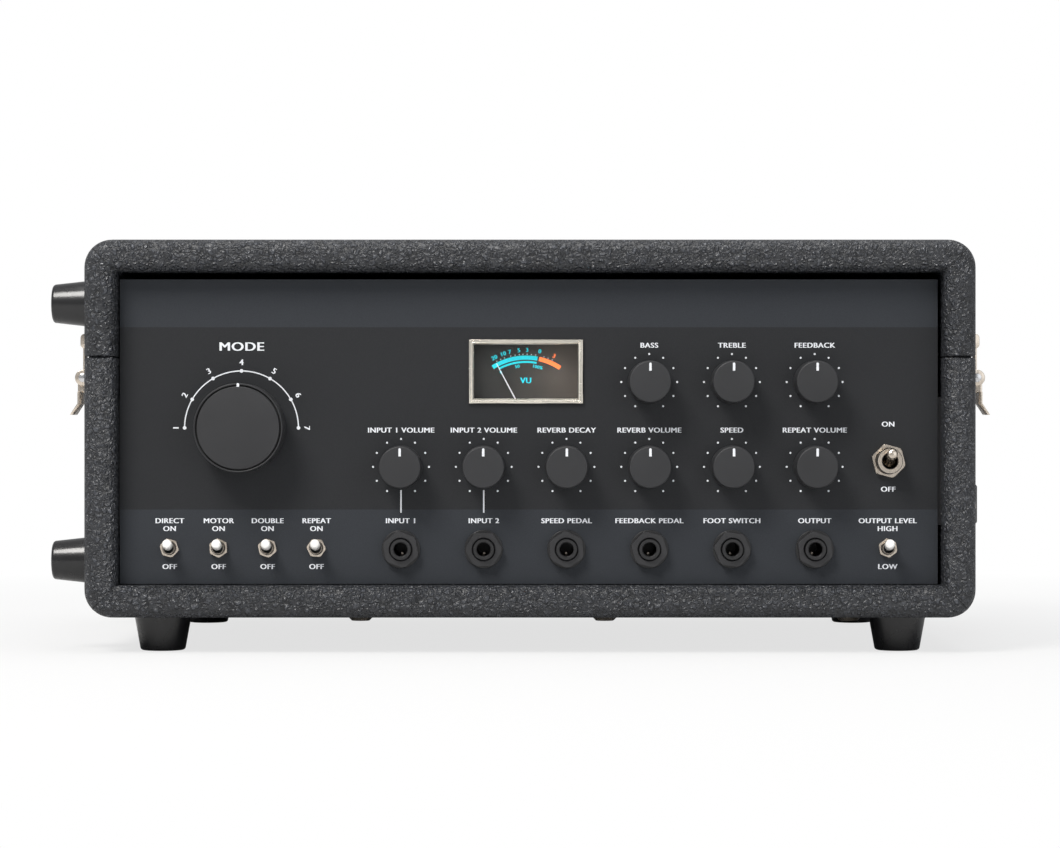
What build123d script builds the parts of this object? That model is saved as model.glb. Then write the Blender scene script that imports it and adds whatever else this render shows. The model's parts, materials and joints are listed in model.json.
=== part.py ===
"""Tape echo unit: a vinyl-covered wooden case with a hinged lid, a front control panel and a
tape-loop transport under the lid.

Millimetres, +Z up.  The origin lies on the floor under the middle of the case, +X is to the
right of somebody facing the control panel, and the panel faces -Y.
"""
import os

from build123d import *

os.makedirs("parts", exist_ok=True)

# ---------------------------------------------------------------- driving sizes
# case
case_w = 416.0
case_h = 176.5
case_d = 275.0
board_t = 15.0
case_corner_r = 13.0
front_round_r = 6.0
rear_round_r = 3.0
seam_height = 121.6          # lid parting line above the underside of the case
seam_gap = 0.6
seam_groove_h = 1.5
seam_groove_d = 1.0

# feet
foot_h = 16.6
foot_base_d = 27.0
foot_tip_d = 21.0
foot_inset_x = 34.0          # from the side of the case to the foot's middle
foot_inset_y = 30.0          # from the front or rear of the case
side_foot_l = 18.0
side_foot_base_d = 22.0
side_foot_tip_d = 18.0
side_foot_low_z = 25.9       # above the underside of the case
side_foot_drop = 29.1        # upper feet below the top of the case
foot_round_r = 1.5
foot_screw_d = 9.0           # recess for the fixing screw
foot_screw_depth = 7.0

# screws under the case that hold the chassis
under_screw_d = 13.0
under_screw_face_d = 8.0
under_screw_round = 1.2
under_screw_h = 3.2
under_screw_pitch = 116.0
under_screw_count = 3
under_screw_x = 35.5         # middle of the row
under_screw_inset = 34.0

# control panel
panel_t = 2.0
panel_recess = 13.0          # panel face behind the front of the case
panel_shift = -0.6           # the panel sits a little to the left in its opening
panel_side_gap = 1.2         # to the boards at its left and right, on average
panel_gap = 0.4              # under the panel
panel_top_gap = 3.3          # room for the lid to swing over the panel

# knobs
knob_d = 20.2
knob_h = 16.0
knob_crown_d = 19.4
knob_cavity_d = 16.4
knob_cavity_h = 6.0
knob_off = 0.7               # knob above the panel
knob_top_r = 0.8
pot_last_inset = 58.3        # last column, from the right end of the panel
pot_first_inset = 131.3      # first column, from the left end of the panel
pot_count = 6
pot_row_low = 70.3           # above the underside of the case
pot_row_high = 110.1
pot_high_count = 3           # pots in the upper row, above the last columns
pot_body_d = 16.5
pot_body_l = 10.0
pot_bush_d = 7.0
pot_nut_af = 10.0
pot_nut_h = 2.0
pot_bush_out = 4.0
shaft_d = 6.0
shaft_fit = 0.05             # radial running clearance
shaft_reach = 7.0            # shaft behind the panel face
shaft_end_gap = 1.0

# mode selector
mode_inset = 56.5            # from the left end of the panel
mode_z = 88.6
mode_d = 41.6
mode_h = 19.0
mode_face_d = 38.4
mode_groove_w = 0.8
mode_groove_deep = 1.2
mode_top_r = 1.2
mode_cavity_d = 32.0
mode_bush_d = 9.0
mode_nut_af = 12.0
mode_body_d = 34.0
mode_body_l = 22.0

# jacks
jack_row = 31.7              # above the underside of the case
jack_bore_d = 6.4
jack_mouth_d = 7.2
jack_bush_d = 9.6
jack_bush_out = 6.0
jack_nut_af = 15.3
jack_nut_h = 3.4
jack_washer_d = 18.0
jack_washer_h = 0.8
jack_body_w = 16.0
jack_body_l = 24.0
jack_bore_l = 29.0          # from the mouth of the bushing
jack_body_r = 1.5
jack_turns = (10.0, 30.0, 4.0, 16.0, 22.0, 8.0)

# small toggles
toggle_inset = 22.8          # first of the row, from the left end of the panel
toggle_pitch = 22.95
toggle_count = 4
toggle_z = 32.3
level_inset = 24.1           # from the right end of the panel
toggle_bush_d = 6.0
toggle_bush_out = 5.2
toggle_nut_af = 8.0
toggle_nut_h = 2.2
toggle_body_w = 7.0
toggle_body_h = 13.0
toggle_body_l = 9.5
toggle_bore_d = 4.6
toggle_pivot_in = 3.2       # pivot behind the mouth of the bushing
toggle_lever_d = 2.4
toggle_sleeve_from = 4.3    # along the lever from its pivot
toggle_sleeve_d = 4.5
toggle_lever_l = 11.0
toggle_ball_d = 3.6
toggle_tip_r = 1.9
toggle_ball_gap = 0.4
toggle_pin_d = 1.0          # cross pin through the ball
toggle_pin_l = 5.4
toggle_throw = 25.0
toggle_turns = (16.0, 4.0, 12.0, 26.0, 8.0)

# power toggle
power_inset = 23.8           # from the right end of the panel
power_z = 73.1
power_bush_d = 11.9
power_bush_out = 8.5
power_nut_af = 14.3
power_nut_h = 2.6
power_body_w = 17.0
power_body_h = 28.0
power_body_l = 18.0
power_lever_tip_d = 4.9
power_lever_root_d = 3.2
power_bore_d = 7.4
power_pivot_in = 5.0
power_lever_l = 16.5
power_ball_d = 6.6
power_tip_r = 1.8
power_pin_d = 1.6
power_pin_l = 9.8
pin_end_gap = 0.05          # at each end of a cross pin
pin_fit = 0.05
power_throw = 26.0
power_nut_turn = 15.0
power_body_r = 1.5

# level meter
meter_x = -1.9
meter_z = 115.0
meter_w = 53.6
meter_h = 30.2
meter_bezel_w = 2.4
meter_bezel_out = 1.6
meter_step = 0.9
meter_depth = 28.0
meter_dial_back = 7.0        # dial behind the panel face
meter_wall = 1.5
meter_rim_w = 1.2            # raised outer rim of the bezel
meter_pocket_gap = 1.5       # room below the needle's tail
meter_glass_t = 1.0
meter_glass_back = 0.5       # glass behind the panel face
needle_pivot_drop = 9.5      # below the lower edge of the window
needle_r = 29.5
needle_t = 0.5
needle_back = 5.0            # needle behind the panel face
needle_rest = 28.0           # left of upright at rest
needle_hub_d = 5.0
needle_hub_l = 2.4
needle_tail = 4.0
needle_root_w = 1.4
needle_tip_w = 0.5
needle_fit = 0.05
needle_pin_d = 1.6
needle_pin_l = 3.0
panel_hole_fit = 0.1         # radial, round bushings and panes
thread_fit = 0.05

# draw latches, one on each side
latch_back = 50.0            # latch middle behind the front of the case
latch_plate_t = 1.2
latch_base_h = 44.9
latch_base_drop = 2.6        # top of the base below the seam
latch_base_w = 26.0
latch_corner_r = 3.0
latch_ear_out = 8.0
latch_ear_gap = 14.4         # between the inner faces of the base's ears
latch_pivot_out = 5.6        # pivot from the side of the case
latch_pivot_drop = 9.1       # pivot below the seam
latch_pin_d = 3.0
latch_pin_fit = 0.05
latch_side_fit = 0.35
lever_low_drop = 26.8        # lower end of the lever below the seam
lever_tab_w = 17.0
lever_tab_up = 11.0          # finger tab above the lever's lower end
lever_flare = 3.6
lever_t = 1.2
hook_pivot_drop = 5.0        # hook pivot below the lever pivot
hook_w = 8.0
hook_t = 1.2
hook_rise = 11.2             # top of the hook above the seam
hook_curl_r = 1.6
hook_curl_leg = 3.0
hook_eye_t = 1.0
hook_pin_d = 2.4
catch_rise = 2.9             # lower edge of the catch above the seam
catch_h = 11.1
catch_w = 22.0
catch_ear_out = 6.5
catch_ear_gap = 10.8
catch_ear_h = 7.0
catch_ear_r = 2.0

# carrying handle on the right side
handle_y = 12.0
handle_z = 50.0
handle_l = 156.0             # over the end caps
handle_cap_l = 30.0
handle_cap_w = 26.0
handle_cap_out = 9.0
handle_proud = 18.0
handle_strap_w = 20.0
handle_strap_t = 4.5
handle_tuck = 5.0            # end of the strap inside the outer end of its cap
handle_rise_l = 26.0
handle_bend_r = 24.0
handle_edge_r = 1.5
handle_cap_r = 6.0
handle_cap_soft_r = 2.5

# lid hinges at the rear
hinge_x = 120.0
hinge_l = 60.0
hinge_out = 4.0              # axis behind the rear of the case
hinge_pin_d = 3.0
hinge_knuckle_d = 6.8
hinge_fit = 0.05
hinge_end_gap = 0.3
hinge_leaf_t = 1.6
hinge_leaf_h = 24.0
hinge_root_gap = 4.2         # leaf edge from the axis where the other leaf turns

# rear panel and mains inlet
rear_board_t = 12.0
rear_panel_w = 300.0
rear_panel_h = 66.0
rear_panel_z = 62.0          # middle, above the underside of the case
rear_panel_t = 1.6
rear_panel_lip = 8.0
rear_window_r = 4.0
vent_count = 9
vent_rows = 2
vent_w = 3.0
vent_h = 18.0
vent_pitch_x = 9.0
vent_pitch_z = 24.0
vent_inset = 90.0            # from the end of the rear panel to the middle of the vents
inlet_inset = 50.0
inlet_w = 27.0
inlet_h = 19.5
inlet_flange_w = 48.0
inlet_flange_h = 22.5
inlet_flange_t = 2.0
inlet_depth = 22.0
inlet_cup_depth = 16.0
inlet_wall = 2.0
inlet_pin_w = 4.0
inlet_pin_t = 2.0
inlet_pin_l = 12.0
inlet_pin_pitch = 7.0
inlet_earth_up = 5.0
inlet_corner_r = 3.0
inlet_screw_pitch = 40.0
inlet_screw_hole_d = 3.4

# chassis
tray_t = 1.2
tray_side_gap = 6.0
tray_front_gap = 60.0        # tray edge behind the panel
tray_rear_gap = 14.0
tray_flange_h = 12.0
rail_h = 18.0
rail_w = 16.0
rail_t = 2.0
rail_ear_w = 12.0            # tab behind the panel at the front of each rail
rail_ear_h = 60.0
board_standoff_h = 8.0
board_standoff_d = 6.0
circuit_t = 1.6
circuit_w = 190.0
circuit_d = 120.0
circuit_x = 60.0
circuit_y = 10.0
capacitor_d = 16.0
capacitor_h = 26.0
capacitor_count = 4
capacitor_pitch = 24.0
socket_w = 30.0
socket_d = 10.0
socket_h = 9.0
transformer_x = -110.0
transformer_y = 20.0
core_w = 62.0
core_d = 34.0
core_h = 52.0
coil_w = 40.0
coil_d = 52.0
coil_h = 36.0
core_foot_w = 82.0
core_foot_t = 2.0
core_foot_r = 4.0

# transport deck
deck_drop = 15.6             # top of the deck plate below the seam
deck_t = 3.0
deck_front_gap = 54.5        # behind the face of the panel
deck_rear_gap = 7.5          # to the rear board
deck_side_gap = 3.0
deck_corner_r = 6.0

# capstan, pinch roller and drive
capstan_x = 100.0
capstan_back = 42.0          # behind the front edge of the deck
capstan_d = 6.0
capstan_up = 20.0            # shaft above the deck
capstan_fit = 0.05
bearing_d = 12.0
bearing_up = 3.0
bearing_down = 12.0
flywheel_d = 84.0
flywheel_t = 12.0
flywheel_gap = 0.5           # below the bearing
flywheel_hub_d = 22.0
flywheel_dish = 3.0
flywheel_rim_w = 8.0
motor_d = 52.0
motor_h = 36.0
motor_post_d = 6.0
motor_post_r = 21.0
motor_flange_t = 3.0
motor_end_r = 4.0
motor_x = 0.0
motor_bore_deep = 10.0
motor_shaft_d = 4.0
pulley_d = 14.0
pulley_t = 9.0
pulley_gap = 1.0             # above the motor's flange
belt_w = 5.0
belt_t = 0.8
belt_clear = 0.3
tape_w = 6.4
tape_z = 10.0                # middle of the tape above the deck
tape_t = 0.3
tape_clear = 0.35            # to the capstan and to the pinch roller
tape_touch = 0.1             # to guides and heads
roller_d = 18.0
roller_h = 12.0
roller_chamfer = 0.6
roller_pin_d = 4.0
roller_gap = 0.3
roller_cap_d = 7.0
roller_cap_t = 1.2
arm_t = 2.5
arm_under = 1.0
arm_side_gap = 0.3
arm_pin_over = 1.0
arm_w = 12.0
arm_l = 34.0
arm_pin_d = 5.0
arm_fit = 0.05

# heads and guides
head_count = 5
head_first_x = -62.0
head_pitch = 30.0
head_w = 16.0
head_d = 13.0
head_h = 14.0
head_nose_r = 9.0
head_block_t = 4.0
head_block_d = 30.0
head_block_over = 12.0
head_block_gap = 2.0         # block behind the tape
head_base_w = 19.0
head_base_t = 1.5
guide_d = 6.0
guide_flange_d = 9.0
guide_flange_t = 1.2

# tape chamber
tank_x = 0.0
tank_back = 76.0             # behind the front edge of the deck
tank_rear_gap = 8.0
tank_w = 320.0
tank_wall = 2.5
tank_floor = 2.5
tank_over = 1.5              # cover above the tape
tank_boss_d = 14.0
tank_corner_r = 14.0
tank_mouth_w = 14.0
tank_mouth_inset = 22.0
cover_t = 2.5
cover_screw_inset = 12.0
loop_turns = 7
loop_edge = 3.0              # loops inside the walls of the tank
loop_bend = 0.47             # bend radius as a share of the loop pitch

# ---------------------------------------------------------------- derived places
front_y = -case_d / 2
rear_y = case_d / 2
side_x = case_w / 2
inner_x = side_x - board_t
case_mid_z = foot_h + case_h / 2
floor_z = foot_h + board_t
seam_z = foot_h + seam_height
panel_y = front_y + panel_recess
panel_back_y = panel_y + panel_t
panel_w = case_w - 2 * (board_t + panel_side_gap)
panel_h = case_h - 2 * board_t - panel_gap - panel_top_gap
panel_mid_z = floor_z + panel_gap + panel_h / 2
pot_pitch = (panel_w - pot_first_inset - pot_last_inset) / (pot_count - 1)
pot_columns = [pot_first_inset - panel_w / 2 + i * pot_pitch for i in range(pot_count)]
pot_places = [(x, foot_h + pot_row_low) for x in pot_columns]
pot_places += [(x, foot_h + pot_row_high) for x in pot_columns[-pot_high_count:]]
mode_x = mode_inset - panel_w / 2
power_x = panel_w / 2 - power_inset
level_x = panel_w / 2 - level_inset
toggle_first_x = toggle_inset - panel_w / 2
mode_place = (mode_x, foot_h + mode_z)
jack_places = [(x, foot_h + jack_row) for x in pot_columns]
toggle_places = [(toggle_first_x + i * toggle_pitch, foot_h + toggle_z) for i in range(toggle_count)]
toggle_places += [(level_x, foot_h + toggle_z)]
power_place = (power_x, foot_h + power_z)
meter_place = (meter_x, foot_h + meter_z)
meter_window_w = meter_w - 2 * meter_bezel_w
meter_window_h = meter_h - 2 * meter_bezel_w
needle_pivot_z = foot_h + meter_z - meter_window_h / 2 - needle_pivot_drop
latch_y = front_y + latch_back
hinge_y = rear_y + hinge_out
deck_top = seam_z - deck_drop
deck_under = deck_top - deck_t
deck_front_y = panel_y + deck_front_gap
deck_rear_y = rear_y - rear_board_t - deck_rear_gap
capstan_y = deck_front_y + capstan_back
motor_y = capstan_y
tank_front_y = deck_front_y + tank_back
tank_rear_y = deck_rear_y - tank_rear_gap
tank_d = tank_rear_y - tank_front_y
tank_y = (tank_front_y + tank_rear_y) / 2
vent_x = rear_panel_w / 2 - vent_inset
inlet_x = inlet_inset - rear_panel_w / 2


def out_of(y):
    """Plane facing the front at depth y, with sketch x to the right and sketch y up."""
    return Plane.XZ.offset(-y)


# ---------------------------------------------------------------- case
with BuildPart() as case_shell:
    with BuildSketch(out_of(front_y)):
        with Locations((0, case_mid_z)):
            RectangleRounded(case_w, case_h, case_corner_r)
    extrude(amount=-case_d)
    fillet(case_shell.faces().sort_by(Axis.Y)[0].edges(), front_round_r)
    fillet(case_shell.faces().sort_by(Axis.Y)[-1].edges(), rear_round_r)
    with BuildSketch(out_of(front_y)):
        with Locations((0, case_mid_z)):
            Rectangle(case_w - 2 * board_t, case_h - 2 * board_t)
    extrude(amount=-(case_d - rear_board_t), mode=Mode.SUBTRACT)
    front_ring = case_shell.faces().filter_by(Axis.Y).sort_by(Axis.Y)[0]
    fillet(front_ring.inner_wires()[0].edges(), front_round_r)
    with BuildSketch(Plane.XY.offset(seam_z - seam_groove_h / 2)):
        Rectangle(case_w + seam_groove_d, case_d + seam_groove_d)
        Rectangle(case_w - 2 * seam_groove_d, case_d - 2 * seam_groove_d, mode=Mode.SUBTRACT)
    extrude(amount=seam_groove_h, mode=Mode.SUBTRACT)

with BuildPart() as case_body:
    add(case_shell.part)
    split(bisect_by=Plane.XY.offset(seam_z - seam_gap / 2), keep=Keep.BOTTOM)
    with BuildSketch(out_of(rear_y)):
        with Locations((0, foot_h + rear_panel_z)):
            RectangleRounded(
                rear_panel_w - 2 * rear_panel_lip, rear_panel_h - 2 * rear_panel_lip, rear_window_r
            )
    extrude(amount=rear_board_t, mode=Mode.SUBTRACT)
    with BuildSketch(out_of(rear_y)):
        with Locations((0, foot_h + rear_panel_z)):
            Rectangle(rear_panel_w, rear_panel_h)
    extrude(amount=rear_panel_t, mode=Mode.SUBTRACT)
case_body.part.label = "case_body"
export_step(case_body.part, "parts/case_body.step")

with BuildPart() as case_lid:
    add(case_shell.part)
    split(bisect_by=Plane.XY.offset(seam_z + seam_gap / 2), keep=Keep.TOP)
case_lid.part.label = "case_lid"
export_step(case_lid.part, "parts/case_lid.step")


# ---------------------------------------------------------------- feet and screws under the case
def turned_foot(base_d, tip_d, length):
    """Tapered foot standing on z = 0 with its base, with a recess for its screw in the tip."""
    with BuildPart() as foot:
        with BuildSketch(Plane.XZ) as profile:
            with BuildLine():
                Polyline(
                    (foot_screw_d / 2, 0),
                    (base_d / 2, 0),
                    (tip_d / 2, length),
                    (foot_screw_d / 2, length),
                    (foot_screw_d / 2, 0),
                )
            make_face()
            fillet(profile.vertices().group_by(Axis.Y)[-1].sort_by(Axis.X)[-1], foot_round_r)
        revolve(axis=Axis.Z)
        with BuildSketch(Plane.XY):
            Circle(foot_screw_d / 2)
        extrude(amount=length - foot_screw_depth)
    return foot.part


with BuildPart() as case_feet:
    with Locations(Location((0, 0, foot_h), (180, 0, 0))):
        with GridLocations(case_w - 2 * foot_inset_x, case_d - 2 * foot_inset_y, 2, 2):
            add(turned_foot(foot_base_d, foot_tip_d, foot_h))
    with Locations(Location((-side_x, 0, foot_h + side_foot_low_z), (0, -90, 0))):
        with GridLocations(1, case_d - 2 * foot_inset_y, 1, 2):
            add(turned_foot(side_foot_base_d, side_foot_tip_d, side_foot_l))
case_feet.part.label = "case_feet"
export_step(case_feet.part, "parts/case_feet.step")

with BuildPart() as lid_side_feet:
    with Locations(Location((-side_x, 0, foot_h + case_h - side_foot_drop), (0, -90, 0))):
        with GridLocations(1, case_d - 2 * foot_inset_y, 1, 2):
            add(turned_foot(side_foot_base_d, side_foot_tip_d, side_foot_l))
lid_side_feet.part.label = "lid_side_feet"
export_step(lid_side_feet.part, "parts/lid_side_feet.step")

with BuildPart() as under_screw:
    with BuildSketch(Plane.XZ) as screw_profile:
        with BuildLine():
            Polyline(
                (0, 0),
                (under_screw_d / 2, 0),
                (under_screw_face_d / 2, -under_screw_h),
                (0, -under_screw_h),
                (0, 0),
            )
        make_face()
        fillet(screw_profile.vertices().group_by(Axis.Y)[0].sort_by(Axis.X)[-1], under_screw_round)
    revolve(axis=Axis.Z)

with BuildPart() as under_screws:
    with Locations((under_screw_x, 0, foot_h)):
        with GridLocations(under_screw_pitch, case_d - 2 * under_screw_inset, under_screw_count, 2):
            add(under_screw.part)
under_screws.part.label = "under_screws"
export_step(under_screws.part, "parts/under_screws.step")

# ---------------------------------------------------------------- control panel
with BuildPart() as front_panel:
    with BuildSketch(out_of(panel_y)):
        with Locations((panel_shift, panel_mid_z)):
            Rectangle(panel_w, panel_h)
        with Locations(*pot_places):
            Circle(pot_bush_d / 2 + panel_hole_fit, mode=Mode.SUBTRACT)
        with Locations(mode_place):
            Circle(mode_bush_d / 2 + panel_hole_fit, mode=Mode.SUBTRACT)
        with Locations(*jack_places):
            Circle(jack_bush_d / 2 + panel_hole_fit, mode=Mode.SUBTRACT)
        with Locations(*toggle_places):
            Circle(toggle_bush_d / 2 + panel_hole_fit, mode=Mode.SUBTRACT)
        with Locations(power_place):
            Circle(power_bush_d / 2 + panel_hole_fit, mode=Mode.SUBTRACT)
        with Locations(meter_place):
            Rectangle(meter_window_w, meter_window_h, mode=Mode.SUBTRACT)
    extrude(amount=-panel_t)
front_panel.part.label = "front_panel"
export_step(front_panel.part, "parts/front_panel.step")


# ---------------------------------------------------------------- knobs and what they turn
def turned_knob(crown_d, base_d, height, cavity_d, cavity_h, top_r):
    """Knob with its shaft, axis along -Y from the panel face, with a hollow for the nut below."""
    with BuildPart() as knob:
        with BuildSketch(Plane.XY) as profile:
            with BuildLine():
                Polyline(
                    (0, shaft_reach),
                    (shaft_d / 2, shaft_reach),
                    (shaft_d / 2, -cavity_h),
                    (cavity_d / 2, -cavity_h),
                    (cavity_d / 2, -knob_off),
                    (base_d / 2, -knob_off),
                    (crown_d / 2, -height),
                    (0, -height),
                    (0, shaft_reach),
                )
            make_face()
            fillet(profile.vertices().group_by(Axis.Y)[0].sort_by(Axis.X)[-1], top_r)
        revolve(axis=Axis.Y)
    return knob.part


plain_knob = turned_knob(knob_crown_d, knob_d, knob_h, knob_cavity_d, knob_cavity_h, knob_top_r)
for number, (x, z) in enumerate(pot_places, start=1):
    with BuildPart() as knob:
        with Locations((x, panel_y, z)):
            add(plain_knob)
    knob.part.label = f"knob_{number}"
    export_step(knob.part, f"parts/knob_{number}.step")

with BuildPart() as mode_knob:
    with Locations((mode_place[0], panel_y, mode_place[1])):
        add(turned_knob(mode_d, mode_d, mode_h, mode_cavity_d, knob_cavity_h, mode_top_r))
    with BuildSketch(out_of(panel_y - mode_h)):
        with Locations(mode_place):
            Circle(mode_face_d / 2 + mode_groove_w)
            Circle(mode_face_d / 2, mode=Mode.SUBTRACT)
    extrude(amount=-mode_groove_deep, mode=Mode.SUBTRACT)
mode_knob.part.label = "mode_knob"
export_step(mode_knob.part, "parts/mode_knob.step")


def panel_control(places, body, body_l, bush_d, bush_out, bore_d, bore_deep):
    """Bodies behind the panel, each with a bored bushing through the panel."""
    with BuildPart() as control:
        with BuildSketch(out_of(panel_back_y)):
            with Locations(*places):
                add(body)
        extrude(amount=-body_l)
        with BuildSketch(out_of(panel_back_y)):
            with Locations(*places):
                Circle(bush_d / 2)
        extrude(amount=panel_t + bush_out)
        with BuildSketch(out_of(panel_y - bush_out)):
            with Locations(*places):
                Circle(bore_d / 2)
        extrude(amount=-(bush_out + bore_deep), mode=Mode.SUBTRACT)
    return control.part


def panel_nuts(places, turns, across_flats, height, bore_d, washer_d=0.0, washer_h=0.0):
    """Hexagon nuts on the panel face, each at its own turn, with a washer where one is asked for."""
    with BuildPart() as nuts:
        for place, turn in zip(places, turns):
            with BuildSketch(out_of(panel_y - washer_h)):
                with Locations(place):
                    RegularPolygon(across_flats / 2, 6, major_radius=False, rotation=turn)
                    Circle(bore_d / 2, mode=Mode.SUBTRACT)
            extrude(amount=height)
        if washer_d:
            with BuildSketch(out_of(panel_y)):
                with Locations(*places):
                    Circle(washer_d / 2)
                    Circle(bore_d / 2, mode=Mode.SUBTRACT)
            extrude(amount=washer_h)
    return nuts.part


shaft_bore_d = shaft_d + 2 * shaft_fit
shaft_bore_deep = shaft_reach + shaft_end_gap
with BuildSketch() as pot_outline:
    Circle(pot_body_d / 2)
with BuildPart() as potentiometers:
    add(
        panel_control(
            pot_places,
            pot_outline.sketch,
            pot_body_l,
            pot_bush_d,
            pot_bush_out,
            shaft_bore_d,
            shaft_bore_deep,
        )
    )
    with BuildSketch(out_of(panel_y)):
        with Locations(*pot_places):
            RegularPolygon(pot_nut_af / 2, 6, major_radius=False)
            Circle(pot_bush_d / 2, mode=Mode.SUBTRACT)
    extrude(amount=pot_nut_h)
potentiometers.part.label = "potentiometers"
export_step(potentiometers.part, "parts/potentiometers.step")

with BuildSketch() as mode_outline:
    Circle(mode_body_d / 2)
with BuildPart() as mode_switch:
    add(
        panel_control(
            [mode_place],
            mode_outline.sketch,
            mode_body_l,
            mode_bush_d,
            pot_bush_out,
            shaft_bore_d,
            shaft_bore_deep,
        )
    )
    with BuildSketch(out_of(panel_y)):
        with Locations(mode_place):
            RegularPolygon(mode_nut_af / 2, 6, major_radius=False)
            Circle(mode_bush_d / 2, mode=Mode.SUBTRACT)
    extrude(amount=pot_nut_h)
mode_switch.part.label = "mode_switch"
export_step(mode_switch.part, "parts/mode_switch.step")

# ---------------------------------------------------------------- jacks
with BuildSketch() as jack_outline:
    RectangleRounded(jack_body_w, jack_body_w, jack_body_r)
jack_bore_deep = jack_bore_l - jack_bush_out
with BuildPart() as jack_sockets:
    add(
        panel_control(
            jack_places,
            jack_outline.sketch,
            jack_body_l,
            jack_bush_d,
            jack_bush_out,
            jack_bore_d,
            jack_bore_deep,
        )
    )
    mouths = jack_sockets.faces().filter_by(Axis.Y).group_by(Axis.Y)[0]
    mouth_edges = [edge for mouth in mouths for edge in mouth.inner_wires()[0].edges()]
    chamfer(mouth_edges, (jack_mouth_d - jack_bore_d) / 2)
jack_sockets.part.label = "jack_sockets"
export_step(jack_sockets.part, "parts/jack_sockets.step")

with BuildPart() as jack_nuts:
    add(
        panel_nuts(
            jack_places,
            jack_turns,
            jack_nut_af,
            jack_nut_h,
            jack_bush_d + 2 * thread_fit,
            jack_washer_d,
            jack_washer_h,
        )
    )
jack_nuts.part.label = "jack_nuts"
export_step(jack_nuts.part, "parts/jack_nuts.step")

# ---------------------------------------------------------------- toggle switches
toggle_pivot_y = panel_y - toggle_bush_out + toggle_pivot_in
power_pivot_y = panel_y - power_bush_out + power_pivot_in
toggle_bore_deep = toggle_pivot_in + toggle_ball_d / 2 + toggle_ball_gap - toggle_bush_out
power_bore_deep = power_pivot_in + power_ball_d / 2 + toggle_ball_gap - power_bush_out
with BuildSketch() as toggle_outline:
    Rectangle(toggle_body_w, toggle_body_h)
with BuildSketch() as power_outline:
    RectangleRounded(power_body_w, power_body_h, power_body_r)
with BuildPart() as toggle_bodies:
    add(
        panel_control(
            toggle_places,
            toggle_outline.sketch,
            toggle_body_l,
            toggle_bush_d,
            toggle_bush_out,
            toggle_bore_d,
            toggle_bore_deep,
        )
    )
    add(
        panel_control(
            [power_place],
            power_outline.sketch,
            power_body_l,
            power_bush_d,
            power_bush_out,
            power_bore_d,
            power_bore_deep,
        )
    )
    with Locations(*[Location((x, toggle_pivot_y, z), (0, 90, 0)) for x, z in toggle_places]):
        Cylinder(toggle_pin_d / 2 + pin_fit, toggle_pin_l + 2 * pin_end_gap, mode=Mode.SUBTRACT)
    with Locations(Location((power_x, power_pivot_y, power_place[1]), (0, 90, 0))):
        Cylinder(power_pin_d / 2 + pin_fit, power_pin_l + 2 * pin_end_gap, mode=Mode.SUBTRACT)
toggle_bodies.part.label = "toggle_bodies"
export_step(toggle_bodies.part, "parts/toggle_bodies.step")

with BuildPart() as toggle_nuts:
    add(panel_nuts(toggle_places, toggle_turns, toggle_nut_af, toggle_nut_h, toggle_bush_d + 2 * thread_fit))
    add(panel_nuts([power_place], [power_nut_turn], power_nut_af, power_nut_h, power_bush_d + 2 * thread_fit))
toggle_nuts.part.label = "toggle_nuts"
export_step(toggle_nuts.part, "parts/toggle_nuts.step")

with BuildPart() as small_lever:
    with BuildSketch(Plane.XY) as profile:
        with BuildLine():
            Polyline(
                (0, 0),
                (toggle_lever_d / 2, 0),
                (toggle_lever_d / 2, -toggle_sleeve_from),
                (toggle_sleeve_d / 2, -toggle_sleeve_from),
                (toggle_sleeve_d / 2, -toggle_lever_l),
                (0, -toggle_lever_l),
                (0, 0),
            )
        make_face()
        fillet(profile.vertices().group_by(Axis.Y)[0].sort_by(Axis.X)[-1], toggle_tip_r)
    revolve(axis=Axis.Y)
    Sphere(toggle_ball_d / 2, rotation=(0, 0, 45))
    Cylinder(toggle_pin_d / 2, toggle_pin_l, rotation=(0, 90, 0))

with BuildPart() as bat_lever:
    with BuildSketch(Plane.XY) as profile:
        with BuildLine():
            Polyline(
                (0, 0),
                (power_lever_root_d / 2, 0),
                (power_lever_tip_d / 2, -power_lever_l),
                (0, -power_lever_l),
                (0, 0),
            )
        make_face()
        fillet(profile.vertices().group_by(Axis.Y)[0].sort_by(Axis.X)[-1], power_tip_r)
    revolve(axis=Axis.Y)
    Sphere(power_ball_d / 2, rotation=(0, 0, 45))
    Cylinder(power_pin_d / 2, power_pin_l, rotation=(0, 90, 0))

for number, (x, z) in enumerate(toggle_places, start=1):
    with BuildPart() as toggle:
        with Locations(Location((x, toggle_pivot_y, z), (-toggle_throw / 2, 0, 0))):
            add(small_lever.part)
    toggle.part.label = f"toggle_{number}"
    export_step(toggle.part, f"parts/toggle_{number}.step")

with BuildPart() as power_toggle:
    with Locations(Location((power_x, power_pivot_y, power_place[1]), (-power_throw / 2, 0, 0))):
        add(bat_lever.part)
power_toggle.part.label = "power_toggle"
export_step(power_toggle.part, "parts/power_toggle.step")

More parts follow.
